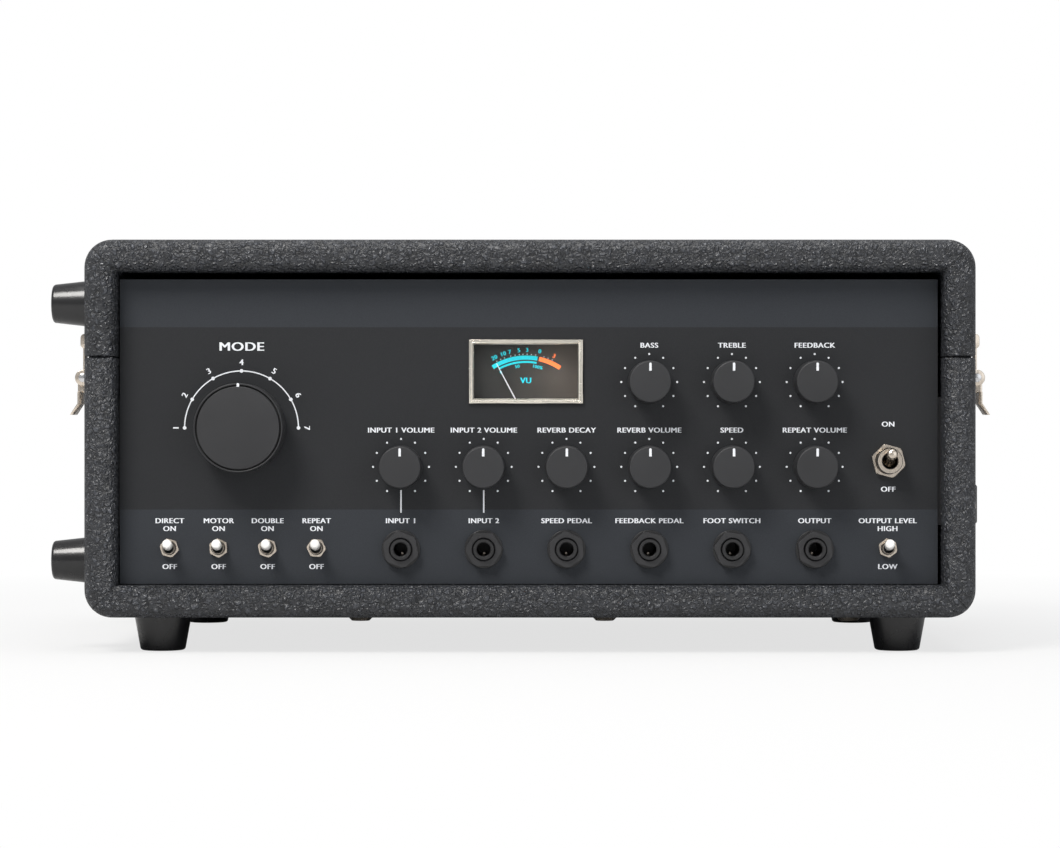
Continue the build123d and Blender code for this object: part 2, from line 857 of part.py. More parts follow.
# ---------------------------------------------------------------- level meter
meter_dial_y = panel_y + meter_dial_back
needle_y = panel_y + needle_back
housing_low = needle_pivot_z - needle_tail - meter_pocket_gap
housing_high = meter_place[1] + meter_window_h / 2
housing_mid = (housing_low + housing_high) / 2
with BuildPart() as meter_housing:
    with BuildSketch(out_of(panel_back_y)):
        with Locations((meter_x, housing_mid)):
            RectangleRounded(
                meter_window_w + 2 * meter_wall, housing_high - housing_low + 2 * meter_wall, meter_wall
            )
    extrude(amount=-meter_depth)
    with BuildSketch(out_of(panel_back_y)):
        with Locations((meter_x, housing_mid)):
            Rectangle(meter_window_w, housing_high - housing_low)
    extrude(amount=-(meter_dial_y - panel_back_y), mode=Mode.SUBTRACT)
    with BuildSketch(out_of(meter_dial_y)):
        with Locations((meter_x, needle_pivot_z)):
            Circle(needle_pin_d / 2 + needle_fit)
    extrude(amount=-(needle_pin_l + needle_fit), mode=Mode.SUBTRACT)
meter_housing.part.label = "meter_housing"
export_step(meter_housing.part, "parts/meter_housing.step")

with BuildPart() as meter_bezel:
    with BuildSketch(out_of(panel_y)):
        with Locations(meter_place):
            Rectangle(meter_w, meter_h)
            Rectangle(meter_window_w, meter_window_h, mode=Mode.SUBTRACT)
    extrude(amount=meter_bezel_out)
    with BuildSketch(out_of(panel_y - meter_bezel_out)):
        with Locations(meter_place):
            Rectangle(meter_w - 2 * meter_rim_w, meter_h - 2 * meter_rim_w)
    extrude(amount=-meter_step, mode=Mode.SUBTRACT)
    chamfer(meter_bezel.faces().sort_by(Axis.Y)[0].outer_wire().edges(), meter_rim_w / 2)
meter_bezel.part.label = "meter_bezel"
export_step(meter_bezel.part, "parts/meter_bezel.step")

with BuildPart() as meter_glass:
    with BuildSketch(out_of(panel_y + meter_glass_back)):
        with Locations(meter_place):
            Rectangle(meter_window_w - 2 * panel_hole_fit, meter_window_h - 2 * panel_hole_fit)
    extrude(amount=-meter_glass_t)
meter_glass.part.label = "meter_glass"
export_step(meter_glass.part, "parts/meter_glass.step")

with BuildPart() as upright_needle:
    with BuildSketch(out_of(-needle_t / 2)):
        with BuildLine():
            Polyline(
                (-needle_root_w / 2, -needle_tail),
                (needle_root_w / 2, -needle_tail),
                (needle_tip_w / 2, needle_r),
                (-needle_tip_w / 2, needle_r),
                (-needle_root_w / 2, -needle_tail),
            )
        make_face()
    extrude(amount=-needle_t)
    with BuildSketch(out_of(-needle_hub_l / 2)):
        Circle(needle_hub_d / 2)
    extrude(amount=-needle_hub_l)
    with BuildSketch(out_of(needle_hub_l / 2)):
        Circle(needle_pin_d / 2)
    extrude(amount=-(meter_dial_back - needle_back - needle_hub_l / 2 + needle_pin_l))

with BuildPart() as meter_needle:
    with Locations(Location((meter_x, needle_y, needle_pivot_z), (0, -needle_rest, 0))):
        add(upright_needle.part)
meter_needle.part.label = "meter_needle"
export_step(meter_needle.part, "parts/meter_needle.step")

# ---------------------------------------------------------------- draw latches
latch_mid_z = seam_z - latch_base_drop - latch_base_h / 2
lever_pivot_z = seam_z - latch_pivot_drop
lever_low_z = seam_z - lever_low_drop
catch_mid_z = seam_z + catch_rise + catch_h / 2
hook_pivot_z = lever_pivot_z - hook_pivot_drop
lever_cheek_gap = latch_ear_gap - 2 * latch_side_fit - 2 * lever_t
# outlines below are drawn for the right side, in the plane of the side view: X outwards, Z up
latch_side = Plane(origin=(side_x, latch_y, 0), x_dir=(1, 0, 0), z_dir=(0, -1, 0))

with BuildPart() as latch_base:
    with BuildSketch(Plane.YZ.offset(side_x)):
        with Locations((latch_y, latch_mid_z)):
            RectangleRounded(latch_base_w, latch_base_h, latch_corner_r)
    extrude(amount=latch_plate_t)
    with BuildSketch(latch_side.offset(latch_ear_gap / 2)) as ear:
        with Locations((latch_pivot_out, lever_pivot_z)):
            Circle(latch_ear_out - latch_pivot_out + latch_pin_d / 2)
        with Locations((latch_pivot_out / 2, lever_pivot_z)):
            Rectangle(latch_pivot_out, 2 * (latch_ear_out - latch_pivot_out + latch_pin_d / 2))
    extrude(amount=latch_plate_t)
    with BuildSketch(latch_side.offset(-latch_ear_gap / 2)):
        add(ear.sketch_local)
    extrude(amount=-latch_plate_t)
    rivet_l = latch_plate_t + latch_side_fit + lever_t
    with BuildSketch(latch_side.offset(latch_ear_gap / 2 + latch_plate_t)) as rivet:
        with Locations((latch_pivot_out, lever_pivot_z)):
            Circle(latch_pin_d / 2)
    extrude(amount=-rivet_l)
    with BuildSketch(latch_side.offset(-latch_ear_gap / 2 - latch_plate_t)):
        add(rivet.sketch_local)
    extrude(amount=rivet_l)

with BuildPart() as latch_lever:
    lever_r = latch_pin_d / 2 + lever_t
    with BuildSketch(latch_side.offset(lever_cheek_gap / 2)) as cheek:
        with Locations((latch_pivot_out, lever_pivot_z)):
            Circle(lever_r)
        with BuildLine():
            Polyline(
                (latch_pivot_out - lever_r, lever_pivot_z),
                (latch_pivot_out + lever_r, lever_pivot_z),
                (latch_pivot_out + lever_r, lever_low_z + lever_tab_up),
                (latch_pivot_out - lever_r, lever_low_z + lever_tab_up),
                (latch_pivot_out - lever_r, lever_pivot_z),
            )
        make_face()
        with Locations((latch_pivot_out, lever_pivot_z)):
            Circle(latch_pin_d / 2 + latch_pin_fit, mode=Mode.SUBTRACT)
    extrude(amount=lever_t)
    with BuildSketch(latch_side.offset(-lever_cheek_gap / 2)):
        add(cheek.sketch_local)
    extrude(amount=-lever_t)
    with BuildSketch(latch_side.offset(lever_tab_w / 2)):
        with BuildLine():
            Polyline(
                (latch_pivot_out + lever_r - lever_t, lever_low_z + lever_tab_up),
                (latch_pivot_out + lever_r, lever_low_z + lever_tab_up),
                (latch_pivot_out + lever_r, lever_low_z + lever_tab_up / 2),
                (latch_pivot_out + lever_r + lever_flare, lever_low_z),
                (latch_pivot_out + lever_r + lever_flare - lever_t, lever_low_z),
                (latch_pivot_out + lever_r - lever_t, lever_low_z + lever_tab_up / 2),
                (latch_pivot_out + lever_r - lever_t, lever_low_z + lever_tab_up),
            )
        make_face()
    extrude(amount=-lever_tab_w)
    with BuildSketch(latch_side.offset(lever_cheek_gap / 2 + lever_t)):
        with Locations((latch_pivot_out, hook_pivot_z)):
            Circle(hook_pin_d / 2)
    extrude(amount=-(lever_cheek_gap + 2 * lever_t))

with BuildPart() as latch_hook:
    hook_top = seam_z + hook_rise
    curl_x = latch_pivot_out - hook_curl_r
    with BuildSketch(latch_side.offset(hook_w / 2)):
        with BuildLine():
            hook_bend_z = hook_top - hook_curl_r - hook_t / 2
            hook_line = Line((latch_pivot_out, hook_pivot_z), (latch_pivot_out, hook_bend_z))
            curl = ThreePointArc(
                hook_line @ 1,
                (curl_x, hook_top - hook_t / 2),
                (curl_x - hook_curl_r, hook_top - hook_curl_r - hook_t / 2),
            )
            Line(curl @ 1, (curl_x - hook_curl_r, hook_top - hook_curl_r - hook_curl_leg))
        trace(line_width=hook_t)
        with Locations((latch_pivot_out, hook_pivot_z)):
            Circle(hook_pin_d / 2 + latch_pin_fit + hook_eye_t)
            Circle(hook_pin_d / 2 + latch_pin_fit, mode=Mode.SUBTRACT)
    extrude(amount=-hook_w)

with BuildPart() as latch_catch:
    with BuildSketch(Plane.YZ.offset(side_x)):
        with Locations((latch_y, catch_mid_z)):
            RectangleRounded(catch_w, catch_h, latch_corner_r)
    extrude(amount=latch_plate_t)
    with BuildSketch(latch_side.offset(catch_ear_gap / 2)) as catch_ear:
        with Locations((latch_plate_t / 2 + catch_ear_out / 2, catch_mid_z)):
            RectangleRounded(catch_ear_out, catch_ear_h, catch_ear_r)
    extrude(amount=latch_plate_t)
    with BuildSketch(latch_side.offset(-catch_ear_gap / 2)):
        add(catch_ear.sketch_local)
    extrude(amount=-latch_plate_t)

with BuildPart() as latch_bases:
    add(latch_base.part)
    mirror(latch_base.part, about=Plane.YZ)
latch_bases.part.label = "latch_bases"
export_step(latch_bases.part, "parts/latch_bases.step")

with BuildPart() as latch_catches:
    add(latch_catch.part)
    mirror(latch_catch.part, about=Plane.YZ)
latch_catches.part.label = "latch_catches"
export_step(latch_catches.part, "parts/latch_catches.step")

for name, piece in (("latch_lever", latch_lever.part), ("latch_hook", latch_hook.part)):
    with BuildPart() as right_piece:
        add(piece)
    right_piece.part.label = f"{name}_right"
    export_step(right_piece.part, f"parts/{name}_right.step")
    with BuildPart() as left_piece:
        mirror(piece, about=Plane.YZ)
    left_piece.part.label = f"{name}_left"
    export_step(left_piece.part, f"parts/{name}_left.step")

# ---------------------------------------------------------------- carrying handle
handle_top = side_x + handle_proud
handle_mid_z = foot_h + handle_z
with BuildPart() as handle_strap:
    strap_end = handle_l / 2 - handle_tuck
    knee = handle_l / 2 - handle_cap_l
    low_x = side_x + handle_cap_out / 2
    high_x = handle_top - handle_strap_t / 2
    with BuildSketch(Plane.XY.offset(handle_mid_z - handle_strap_w / 2)):
        with BuildLine():
            FilletPolyline(
                (low_x, handle_y - strap_end),
                (low_x, handle_y - knee),
                (high_x, handle_y - knee + handle_rise_l),
                (high_x, handle_y + knee - handle_rise_l),
                (low_x, handle_y + knee),
                (low_x, handle_y + strap_end),
                radius=handle_bend_r,
            )
        trace(line_width=handle_strap_t)
    extrude(amount=handle_strap_w)
    long_edges = handle_strap.edges().filter_by(GeomType.LINE).filter_by(Axis.Y)
    fillet(long_edges, handle_edge_r)
handle_strap.part.label = "handle_strap"
export_step(handle_strap.part, "parts/handle_strap.step")

with BuildPart() as handle_caps:
    with BuildSketch(Plane.YZ.offset(side_x)):
        with Locations((handle_y, handle_mid_z)):
            with GridLocations(handle_l - handle_cap_l, 1, 2, 1):
                RectangleRounded(handle_cap_l, handle_cap_w, handle_cap_r)
    extrude(amount=handle_cap_out)
    fillet(handle_caps.faces().sort_by(Axis.X)[-2:].edges(), handle_cap_soft_r)
    add(handle_strap.part, mode=Mode.SUBTRACT)
handle_caps.part.label = "handle_caps"
export_step(handle_caps.part, "parts/handle_caps.step")

# ---------------------------------------------------------------- lid hinges
knuckle_l = (hinge_l - 2 * hinge_end_gap) / 3
# side view of a leaf from the axis outwards: sketch x towards the rear, sketch y up
with BuildPart() as lower_leaf:
    with BuildSketch(Plane.XZ.offset(-rear_y)):
        with Locations((0, seam_z - (hinge_root_gap + hinge_leaf_h) / 2)):
            Rectangle(hinge_l, hinge_leaf_h - hinge_root_gap)
    extrude(amount=-hinge_leaf_t)
    with BuildSketch(Plane.YZ.offset(-hinge_l / 2)) as lower_knuckle:
        with Locations((hinge_y, seam_z)):
            Circle(hinge_knuckle_d / 2)
        with Locations((rear_y + hinge_leaf_t / 2, seam_z - hinge_root_gap / 2)):
            Rectangle(hinge_leaf_t, hinge_root_gap)
    extrude(amount=knuckle_l)
    with BuildSketch(Plane.YZ.offset(hinge_l / 2)):
        add(lower_knuckle.sketch_local)
    extrude(amount=-knuckle_l)
    with BuildSketch(Plane.YZ.offset(-hinge_l / 2)):
        with Locations((hinge_y, seam_z)):
            Circle(hinge_pin_d / 2)
    extrude(amount=hinge_l)

with BuildPart() as upper_leaf:
    with BuildSketch(Plane.XZ.offset(-rear_y)):
        with Locations((0, seam_z + (hinge_root_gap + hinge_leaf_h) / 2)):
            Rectangle(hinge_l, hinge_leaf_h - hinge_root_gap)
    extrude(amount=-hinge_leaf_t)
    with BuildSketch(Plane.YZ.offset(-knuckle_l / 2)):
        with Locations((hinge_y, seam_z)):
            Circle(hinge_knuckle_d / 2)
        with Locations((rear_y + hinge_leaf_t / 2, seam_z + hinge_root_gap / 2)):
            Rectangle(hinge_leaf_t, hinge_root_gap)
        with Locations((hinge_y, seam_z)):
            Circle(hinge_pin_d / 2 + hinge_fit, mode=Mode.SUBTRACT)
    extrude(amount=knuckle_l)

for name, leaf in (("hinge_leaves_body", lower_leaf.part), ("hinge_leaves_lid", upper_leaf.part)):
    with BuildPart() as leaves:
        with Locations((-hinge_x, 0, 0), (hinge_x, 0, 0)):
            add(leaf)
    leaves.part.label = name
    export_step(leaves.part, f"parts/{name}.step")

# ---------------------------------------------------------------- rear panel and mains inlet
rear_mid_z = foot_h + rear_panel_z
with BuildPart() as rear_panel:
    with BuildSketch(out_of(rear_y - rear_panel_t)):
        with Locations((0, rear_mid_z)):
            Rectangle(rear_panel_w, rear_panel_h)
        with Locations((vent_x, rear_mid_z)):
            with GridLocations(vent_pitch_x, vent_pitch_z, vent_count, vent_rows):
                SlotOverall(vent_h, vent_w, rotation=90, mode=Mode.SUBTRACT)
        with Locations((inlet_x, rear_mid_z)):
            RectangleRounded(inlet_w, inlet_h, inlet_corner_r, mode=Mode.SUBTRACT)
            with GridLocations(inlet_screw_pitch, 1, 2, 1):
                Circle(inlet_screw_hole_d / 2, mode=Mode.SUBTRACT)
    extrude(amount=-rear_panel_t)
rear_panel.part.label = "rear_panel"
export_step(rear_panel.part, "parts/rear_panel.step")

with BuildPart() as mains_inlet:
    with BuildSketch(out_of(rear_y)):
        with Locations((inlet_x, rear_mid_z)):
            RectangleRounded(inlet_flange_w, inlet_flange_h, inlet_corner_r)
            with GridLocations(inlet_screw_pitch, 1, 2, 1):
                Circle(inlet_screw_hole_d / 2, mode=Mode.SUBTRACT)
    extrude(amount=-inlet_flange_t)
    with BuildSketch(out_of(rear_y)):
        with Locations((inlet_x, rear_mid_z)):
            RectangleRounded(
                inlet_w - 2 * panel_hole_fit, inlet_h - 2 * panel_hole_fit, inlet_corner_r - panel_hole_fit
            )
    extrude(amount=inlet_depth)
    with BuildSketch(out_of(rear_y + inlet_flange_t)):
        with Locations((inlet_x, rear_mid_z)):
            RectangleRounded(inlet_w - 2 * inlet_wall, inlet_h - 2 * inlet_wall, inlet_corner_r / 2)
    extrude(amount=inlet_cup_depth + inlet_flange_t, mode=Mode.SUBTRACT)
    with BuildSketch(out_of(rear_y - inlet_cup_depth)):
        with Locations((inlet_x, rear_mid_z - inlet_earth_up / 2)):
            with GridLocations(2 * inlet_pin_pitch, 1, 2, 1):
                Rectangle(inlet_pin_t, inlet_pin_w)
        with Locations((inlet_x, rear_mid_z + inlet_earth_up / 2)):
            Rectangle(inlet_pin_t, inlet_pin_w)
    extrude(amount=-inlet_pin_l)
mains_inlet.part.label = "mains_inlet"
export_step(mains_inlet.part, "parts/mains_inlet.step")

# ---------------------------------------------------------------- chassis, rails and what stands on them
tray_front_y = panel_back_y + tray_front_gap
tray_rear_y = rear_y - rear_board_t - tray_rear_gap
tray_top = floor_z + tray_t
with BuildPart() as chassis_tray:
    with BuildSketch(Plane.XY.offset(floor_z)):
        with Locations((0, (tray_front_y + tray_rear_y) / 2)):
            Rectangle(2 * (inner_x - tray_side_gap), tray_rear_y - tray_front_y)
    extrude(amount=tray_t)
    with BuildSketch(Plane.XY.offset(tray_top)):
        with Locations((0, tray_front_y + tray_t / 2), (0, tray_rear_y - tray_t / 2)):
            Rectangle(2 * (inner_x - tray_side_gap), tray_t)
    extrude(amount=tray_flange_h)
    with BuildSketch(Plane.XY.offset(tray_top)):
        with Locations((circuit_x, circuit_y)):
            with GridLocations(circuit_w - 2 * board_standoff_d, circuit_d - 2 * board_standoff_d, 2, 2):
                RegularPolygon(board_standoff_d / 2, 6)
    extrude(amount=board_standoff_h)
chassis_tray.part.label = "chassis_tray"
export_step(chassis_tray.part, "parts/chassis_tray.step")

with BuildPart() as right_rail:
    with BuildSketch(Plane.XZ.offset(-panel_back_y)):
        with Locations((inner_x - rail_t / 2, deck_under - rail_h / 2)):
            Rectangle(rail_t, rail_h)
    extrude(amount=-(deck_rear_y - panel_back_y))
    with BuildSketch(Plane.XZ.offset(-deck_front_y)):
        with Locations((inner_x - rail_w / 2, deck_under - rail_t / 2)):
            Rectangle(rail_w, rail_t)
    extrude(amount=-(deck_rear_y - deck_front_y))
    with BuildSketch(Plane.XZ.offset(-panel_back_y)):
        with Locations((inner_x - rail_ear_w / 2, deck_under - rail_ear_h / 2)):
            Rectangle(rail_ear_w, rail_ear_h)
    extrude(amount=-rail_t)

with BuildPart() as side_rails:
    add(right_rail.part)
    mirror(right_rail.part, about=Plane.YZ)
side_rails.part.label = "side_rails"
export_step(side_rails.part, "parts/side_rails.step")

circuit_z = tray_top + board_standoff_h
circuit_top = circuit_z + circuit_t
with BuildPart() as main_board:
    with BuildSketch(Plane.XY.offset(circuit_z)):
        with Locations((circuit_x, circuit_y)):
            Rectangle(circuit_w, circuit_d)
    extrude(amount=circuit_t)
    with BuildSketch(Plane.XY.offset(circuit_top)):
        with Locations((circuit_x, circuit_y + circuit_d / 2 - capacitor_d)):
            with GridLocations(capacitor_pitch, 1, capacitor_count, 1):
                Circle(capacitor_d / 2)
    extrude(amount=capacitor_h)
    with BuildSketch(Plane.XY.offset(circuit_top)):
        with Locations((circuit_x, circuit_y - circuit_d / 2 + socket_d)):
            with GridLocations(2 * socket_w, 1, 3, 1):
                Rectangle(socket_w, socket_d)
    extrude(amount=socket_h)
main_board.part.label = "main_board"
export_step(main_board.part, "parts/main_board.step")

with BuildPart() as transformer:
    with BuildSketch(Plane.XY.offset(tray_top)):
        with Locations((transformer_x, transformer_y)):
            RectangleRounded(core_foot_w, core_d, core_foot_r)
            with GridLocations(core_foot_w - 4 * core_foot_r, 1, 2, 1):
                Circle(core_foot_r / 2, mode=Mode.SUBTRACT)
    extrude(amount=core_foot_t)
    with BuildSketch(Plane.XY.offset(tray_top + core_foot_t)):
        with Locations((transformer_x, transformer_y)):
            Rectangle(core_w, core_d)
    extrude(amount=core_h)
    with BuildSketch(Plane.XY.offset(tray_top + core_foot_t + (core_h - coil_h) / 2)):
        with Locations((transformer_x, transformer_y)):
            RectangleRounded(coil_w, coil_d, core_foot_r)
    extrude(amount=coil_h)
transformer.part.label = "transformer"
export_step(transformer.part, "parts/transformer.step")

# ---------------------------------------------------------------- transport deck
tape_y = capstan_y + capstan_d / 2 + tape_clear + tape_t / 2
roller_y = tape_y + tape_t / 2 + tape_clear + roller_d / 2
arm_x = capstan_x - arm_l
arm_y = roller_y
arm_low = deck_top + arm_under
tape_mid_z = deck_top + tape_z
mouth_x = tank_w / 2 - tank_mouth_inset
guide_offset = guide_d / 2 + tape_touch + tape_t / 2
corner_guide_x = mouth_x - guide_offset
corner_guides = [(x, tape_y + guide_offset) for x in (-corner_guide_x, corner_guide_x)]
guide_low = tape_mid_z - tape_w / 2 - tape_touch - guide_flange_t
guide_high = tape_mid_z + tape_w / 2 + tape_touch


def guide_posts(places, foot_z):
    """Turned posts with a flange under and over the tape, standing on foot_z."""
    with BuildPart() as posts:
        with BuildSketch(Plane.XY.offset(foot_z)):
            with Locations(*places):
                Circle(guide_d / 2)
        extrude(amount=guide_high + guide_flange_t - foot_z)
        with BuildSketch(Plane.XY.offset(guide_low)):
            with Locations(*places):
                Circle(guide_flange_d / 2)
        extrude(amount=guide_flange_t)
        with BuildSketch(Plane.XY.offset(guide_high)):
            with Locations(*places):
                Circle(guide_flange_d / 2)
        extrude(amount=guide_flange_t)
    return posts.part


with BuildPart() as deck_plate:
    with BuildSketch(Plane.XY.offset(deck_under)):
        with Locations((0, (deck_front_y + deck_rear_y) / 2)):
            RectangleRounded(2 * (inner_x - deck_side_gap), deck_rear_y - deck_front_y, deck_corner_r)
    extrude(amount=deck_t)
    with BuildSketch(Plane.XY.offset(deck_under - bearing_down)):
        with Locations((capstan_x, capstan_y)):
            Circle(bearing_d / 2)
    extrude(amount=bearing_down + deck_t + bearing_up)
    with BuildSketch(Plane.XY.offset(deck_under - bearing_down)):
        with Locations((capstan_x, capstan_y)):
            Circle(capstan_d / 2 + capstan_fit)
    extrude(amount=bearing_down + deck_t + bearing_up, mode=Mode.SUBTRACT)
    add(guide_posts(corner_guides, deck_top))
    with BuildSketch(Plane.XY.offset(deck_top)):
        with Locations((arm_x, arm_y)):
            Circle(arm_pin_d / 2)
    extrude(amount=arm_t + arm_under + arm_pin_over)
    with BuildSketch(Plane.XY.offset(deck_top)):
        with Locations((arm_x, arm_y)):
            Circle(arm_pin_d)
    extrude(amount=arm_under - arm_side_gap)
deck_plate.part.label = "deck_plate"
export_step(deck_plate.part, "parts/deck_plate.step")

# ---------------------------------------------------------------- capstan, pinch roller and drive
flywheel_top = deck_under - bearing_down - flywheel_gap
flywheel_low = flywheel_top - flywheel_t
with BuildPart() as capstan:
    with BuildSketch(Plane.XY.offset(flywheel_low)):
        with Locations((capstan_x, capstan_y)):
            Circle(flywheel_d / 2)
    extrude(amount=flywheel_t)
    with BuildSketch(Plane.XY.offset(flywheel_top)):
        with Locations((capstan_x, capstan_y)):
            Circle(flywheel_d / 2 - flywheel_rim_w)
            Circle(flywheel_hub_d / 2, mode=Mode.SUBTRACT)
    extrude(amount=-flywheel_dish, mode=Mode.SUBTRACT)
    with BuildSketch(Plane.XY.offset(flywheel_low)):
        with Locations((capstan_x, capstan_y)):
            Circle(capstan_d / 2)
    extrude(amount=deck_top + capstan_up - flywheel_low)
    chamfer(capstan.faces().sort_by(Axis.Z)[-1].edges(), capstan_d / 12)
capstan.part.label = "capstan"
export_step(capstan.part, "parts/capstan.step")

pulley_mid = (flywheel_low + flywheel_top) / 2
pulley_low = pulley_mid - pulley_t / 2
motor_top = pulley_low - pulley_gap
with BuildPart() as motor:
    with BuildSketch(Plane.XY.offset(motor_top - motor_h)):
        with Locations((motor_x, motor_y)):
            Circle(motor_d / 2)
    extrude(amount=motor_h)
    fillet(motor.faces().sort_by(Axis.Z)[0].edges(), motor_end_r)
    with BuildSketch(Plane.XY.offset(motor_top - motor_flange_t)):
        with Locations((motor_x, motor_y)):
            Circle(motor_post_r + motor_post_d)
    extrude(amount=motor_flange_t)
    with BuildSketch(Plane.XY.offset(motor_top)):
        with Locations((motor_x, motor_y)):
            with PolarLocations(motor_post_r, 3, start_angle=90, angular_range=270):
                Circle(motor_post_d / 2)
    extrude(amount=deck_under - motor_top)
    with BuildSketch(Plane.XY.offset(motor_top)):
        with Locations((motor_x, motor_y)):
            Circle(motor_shaft_d / 2 + capstan_fit)
    extrude(amount=-motor_bore_deep, mode=Mode.SUBTRACT)
motor.part.label = "motor"
export_step(motor.part, "parts/motor.step")

with BuildPart() as motor_pulley:
    with BuildSketch(Plane.XY.offset(pulley_low)):
        with Locations((motor_x, motor_y)):
            Circle(pulley_d / 2)
    extrude(amount=pulley_t)
    with BuildSketch(Plane.XY.offset(pulley_low)):
        with Locations((motor_x, motor_y)):
            Circle(motor_shaft_d / 2)
    extrude(amount=-(pulley_gap + motor_bore_deep - shaft_end_gap))
motor_pulley.part.label = "motor_pulley"
export_step(motor_pulley.part, "parts/motor_pulley.step")


def belt_outline(grow):
    """Outline of a belt's face that runs this far outside the pulley and the flywheel."""
    with BuildSketch() as outline:
        with BuildLine():
            CenterArc((motor_x, motor_y), pulley_d / 2 + grow, 0, 360)
            CenterArc((capstan_x, capstan_y), flywheel_d / 2 + grow, 0, 360)
        make_hull()
    return outline.sketch


with BuildPart() as drive_belt:
    with BuildSketch(Plane.XY.offset(pulley_mid - belt_w / 2)):
        add(belt_outline(belt_clear + belt_t))
        add(belt_outline(belt_clear), mode=Mode.SUBTRACT)
    extrude(amount=belt_w)
drive_belt.part.label = "drive_belt"
export_step(drive_belt.part, "parts/drive_belt.step")

with BuildPart() as pinch_arm:
    with BuildSketch(Plane.XY.offset(arm_low)):
        with Locations(((arm_x + capstan_x) / 2, arm_y)):
            SlotCenterToCenter(arm_l, arm_w)
        with Locations((arm_x, arm_y)):
            Circle(arm_pin_d / 2 + arm_fit, mode=Mode.SUBTRACT)
    extrude(amount=arm_t)
    with BuildSketch(Plane.XY.offset(arm_low + arm_t)):
        with Locations((capstan_x, arm_y)):
            Circle(roller_pin_d / 2)
    extrude(amount=2 * roller_gap + roller_h)
    with BuildSketch(Plane.XY.offset(arm_low + arm_t + 2 * roller_gap + roller_h)):
        with Locations((capstan_x, arm_y)):
            Circle(roller_cap_d / 2)
    extrude(amount=roller_cap_t)
pinch_arm.part.label = "pinch_arm"
export_step(pinch_arm.part, "parts/pinch_arm.step")

with BuildPart() as pinch_roller:
    with BuildSketch(Plane.XY.offset(arm_low + arm_t + roller_gap)):
        with Locations((capstan_x, arm_y)):
            Circle(roller_d / 2)
            Circle(roller_pin_d / 2 + arm_fit, mode=Mode.SUBTRACT)
    extrude(amount=roller_h)
    chamfer(pinch_roller.edges().filter_by(GeomType.CIRCLE).sort_by(SortBy.RADIUS)[-2:], roller_chamfer)
pinch_roller.part.label = "pinch_roller"
export_step(pinch_roller.part, "parts/pinch_roller.step")

# ---------------------------------------------------------------- heads
block_rear_y = tape_y - head_block_gap
block_top = deck_top + head_block_t
head_span = (head_count - 1) * head_pitch
block_l = head_span + head_w + 2 * head_block_over
block_x = head_first_x + head_span / 2
post_span = head_span + head_w + head_block_over
block_posts = [(block_x + side * post_span / 2, tape_y - guide_offset) for side in (-1, 1)]
with BuildPart() as head_block:
    with BuildSketch(Plane.XY.offset(deck_top)):
        with Locations((block_x, block_rear_y - head_block_d / 2)):
            RectangleRounded(block_l, head_block_d, head_block_t / 2)
    extrude(amount=head_block_t)
    add(guide_posts(block_posts, block_top))
head_block.part.label = "head_block"
export_step(head_block.part, "parts/head_block.step")

nose_y = tape_y - tape_t / 2 - tape_touch
nose_sag = head_nose_r - (head_nose_r**2 - (head_w / 2) ** 2) ** 0.5
with BuildPart() as tape_heads:
    for index in range(head_count):
        head_x = head_first_x + index * head_pitch
        with BuildSketch(Plane.XY.offset(block_top + head_base_t)):
            with BuildLine():
                Polyline(
                    (head_x - head_w / 2, nose_y - nose_sag),
                    (head_x - head_w / 2, nose_y - head_d),
                    (head_x + head_w / 2, nose_y - head_d),
                    (head_x + head_w / 2, nose_y - nose_sag),
                )
                ThreePointArc(
                    (head_x + head_w / 2, nose_y - nose_sag),
                    (head_x, nose_y),
                    (head_x - head_w / 2, nose_y - nose_sag),
                )
            make_face()
        extrude(amount=head_h - head_base_t)
        with BuildSketch(Plane.XY.offset(block_top)):
            with Locations((head_x, nose_y - (nose_sag + head_d) / 2)):
                Rectangle(head_base_w, head_d - nose_sag)
        extrude(amount=head_base_t)
tape_heads.part.label = "tape_heads"
export_step(tape_heads.part, "parts/tape_heads.step")

# ---------------------------------------------------------------- tape chamber
tank_stand = tape_z - tape_w / 2 - tape_touch - tank_floor
tank_low = deck_top + tank_stand
tank_top = tape_mid_z + tape_w / 2 + tank_over
boss_pitch_x = tank_w - 2 * cover_screw_inset
boss_pitch_y = tank_d - 2 * cover_screw_inset
with BuildPart() as tape_tank:
    with BuildSketch(Plane.XY.offset(tank_low)):
        with Locations((tank_x, tank_y)):
            RectangleRounded(tank_w, tank_d, tank_corner_r)
    extrude(amount=tank_top - tank_low)
    with BuildSketch(Plane.XY.offset(tank_low + tank_floor)):
        with Locations((tank_x, tank_y)):
            RectangleRounded(tank_w - 2 * tank_wall, tank_d - 2 * tank_wall, tank_corner_r - tank_wall)
        with Locations((-mouth_x, tank_front_y), (mouth_x, tank_front_y)):
            Rectangle(tank_mouth_w, 2 * tank_wall)
    extrude(amount=tank_top - tank_low, mode=Mode.SUBTRACT)
    with BuildSketch(Plane.XY.offset(deck_top)):
        with Locations((tank_x, tank_y)):
            with GridLocations(boss_pitch_x, boss_pitch_y, 2, 2):
                Circle(tank_boss_d / 2)
    extrude(amount=tank_stand)
tape_tank.part.label = "tape_tank"
export_step(tape_tank.part, "parts/tape_tank.step")

with BuildPart() as tank_cover:
    with BuildSketch(Plane.XY.offset(tank_top)):
        with Locations((tank_x, tank_y)):
            RectangleRounded(tank_w, tank_d, tank_corner_r)
    extrude(amount=cover_t)
tank_cover.part.label = "tank_cover"
export_step(tank_cover.part, "parts/tank_cover.step")

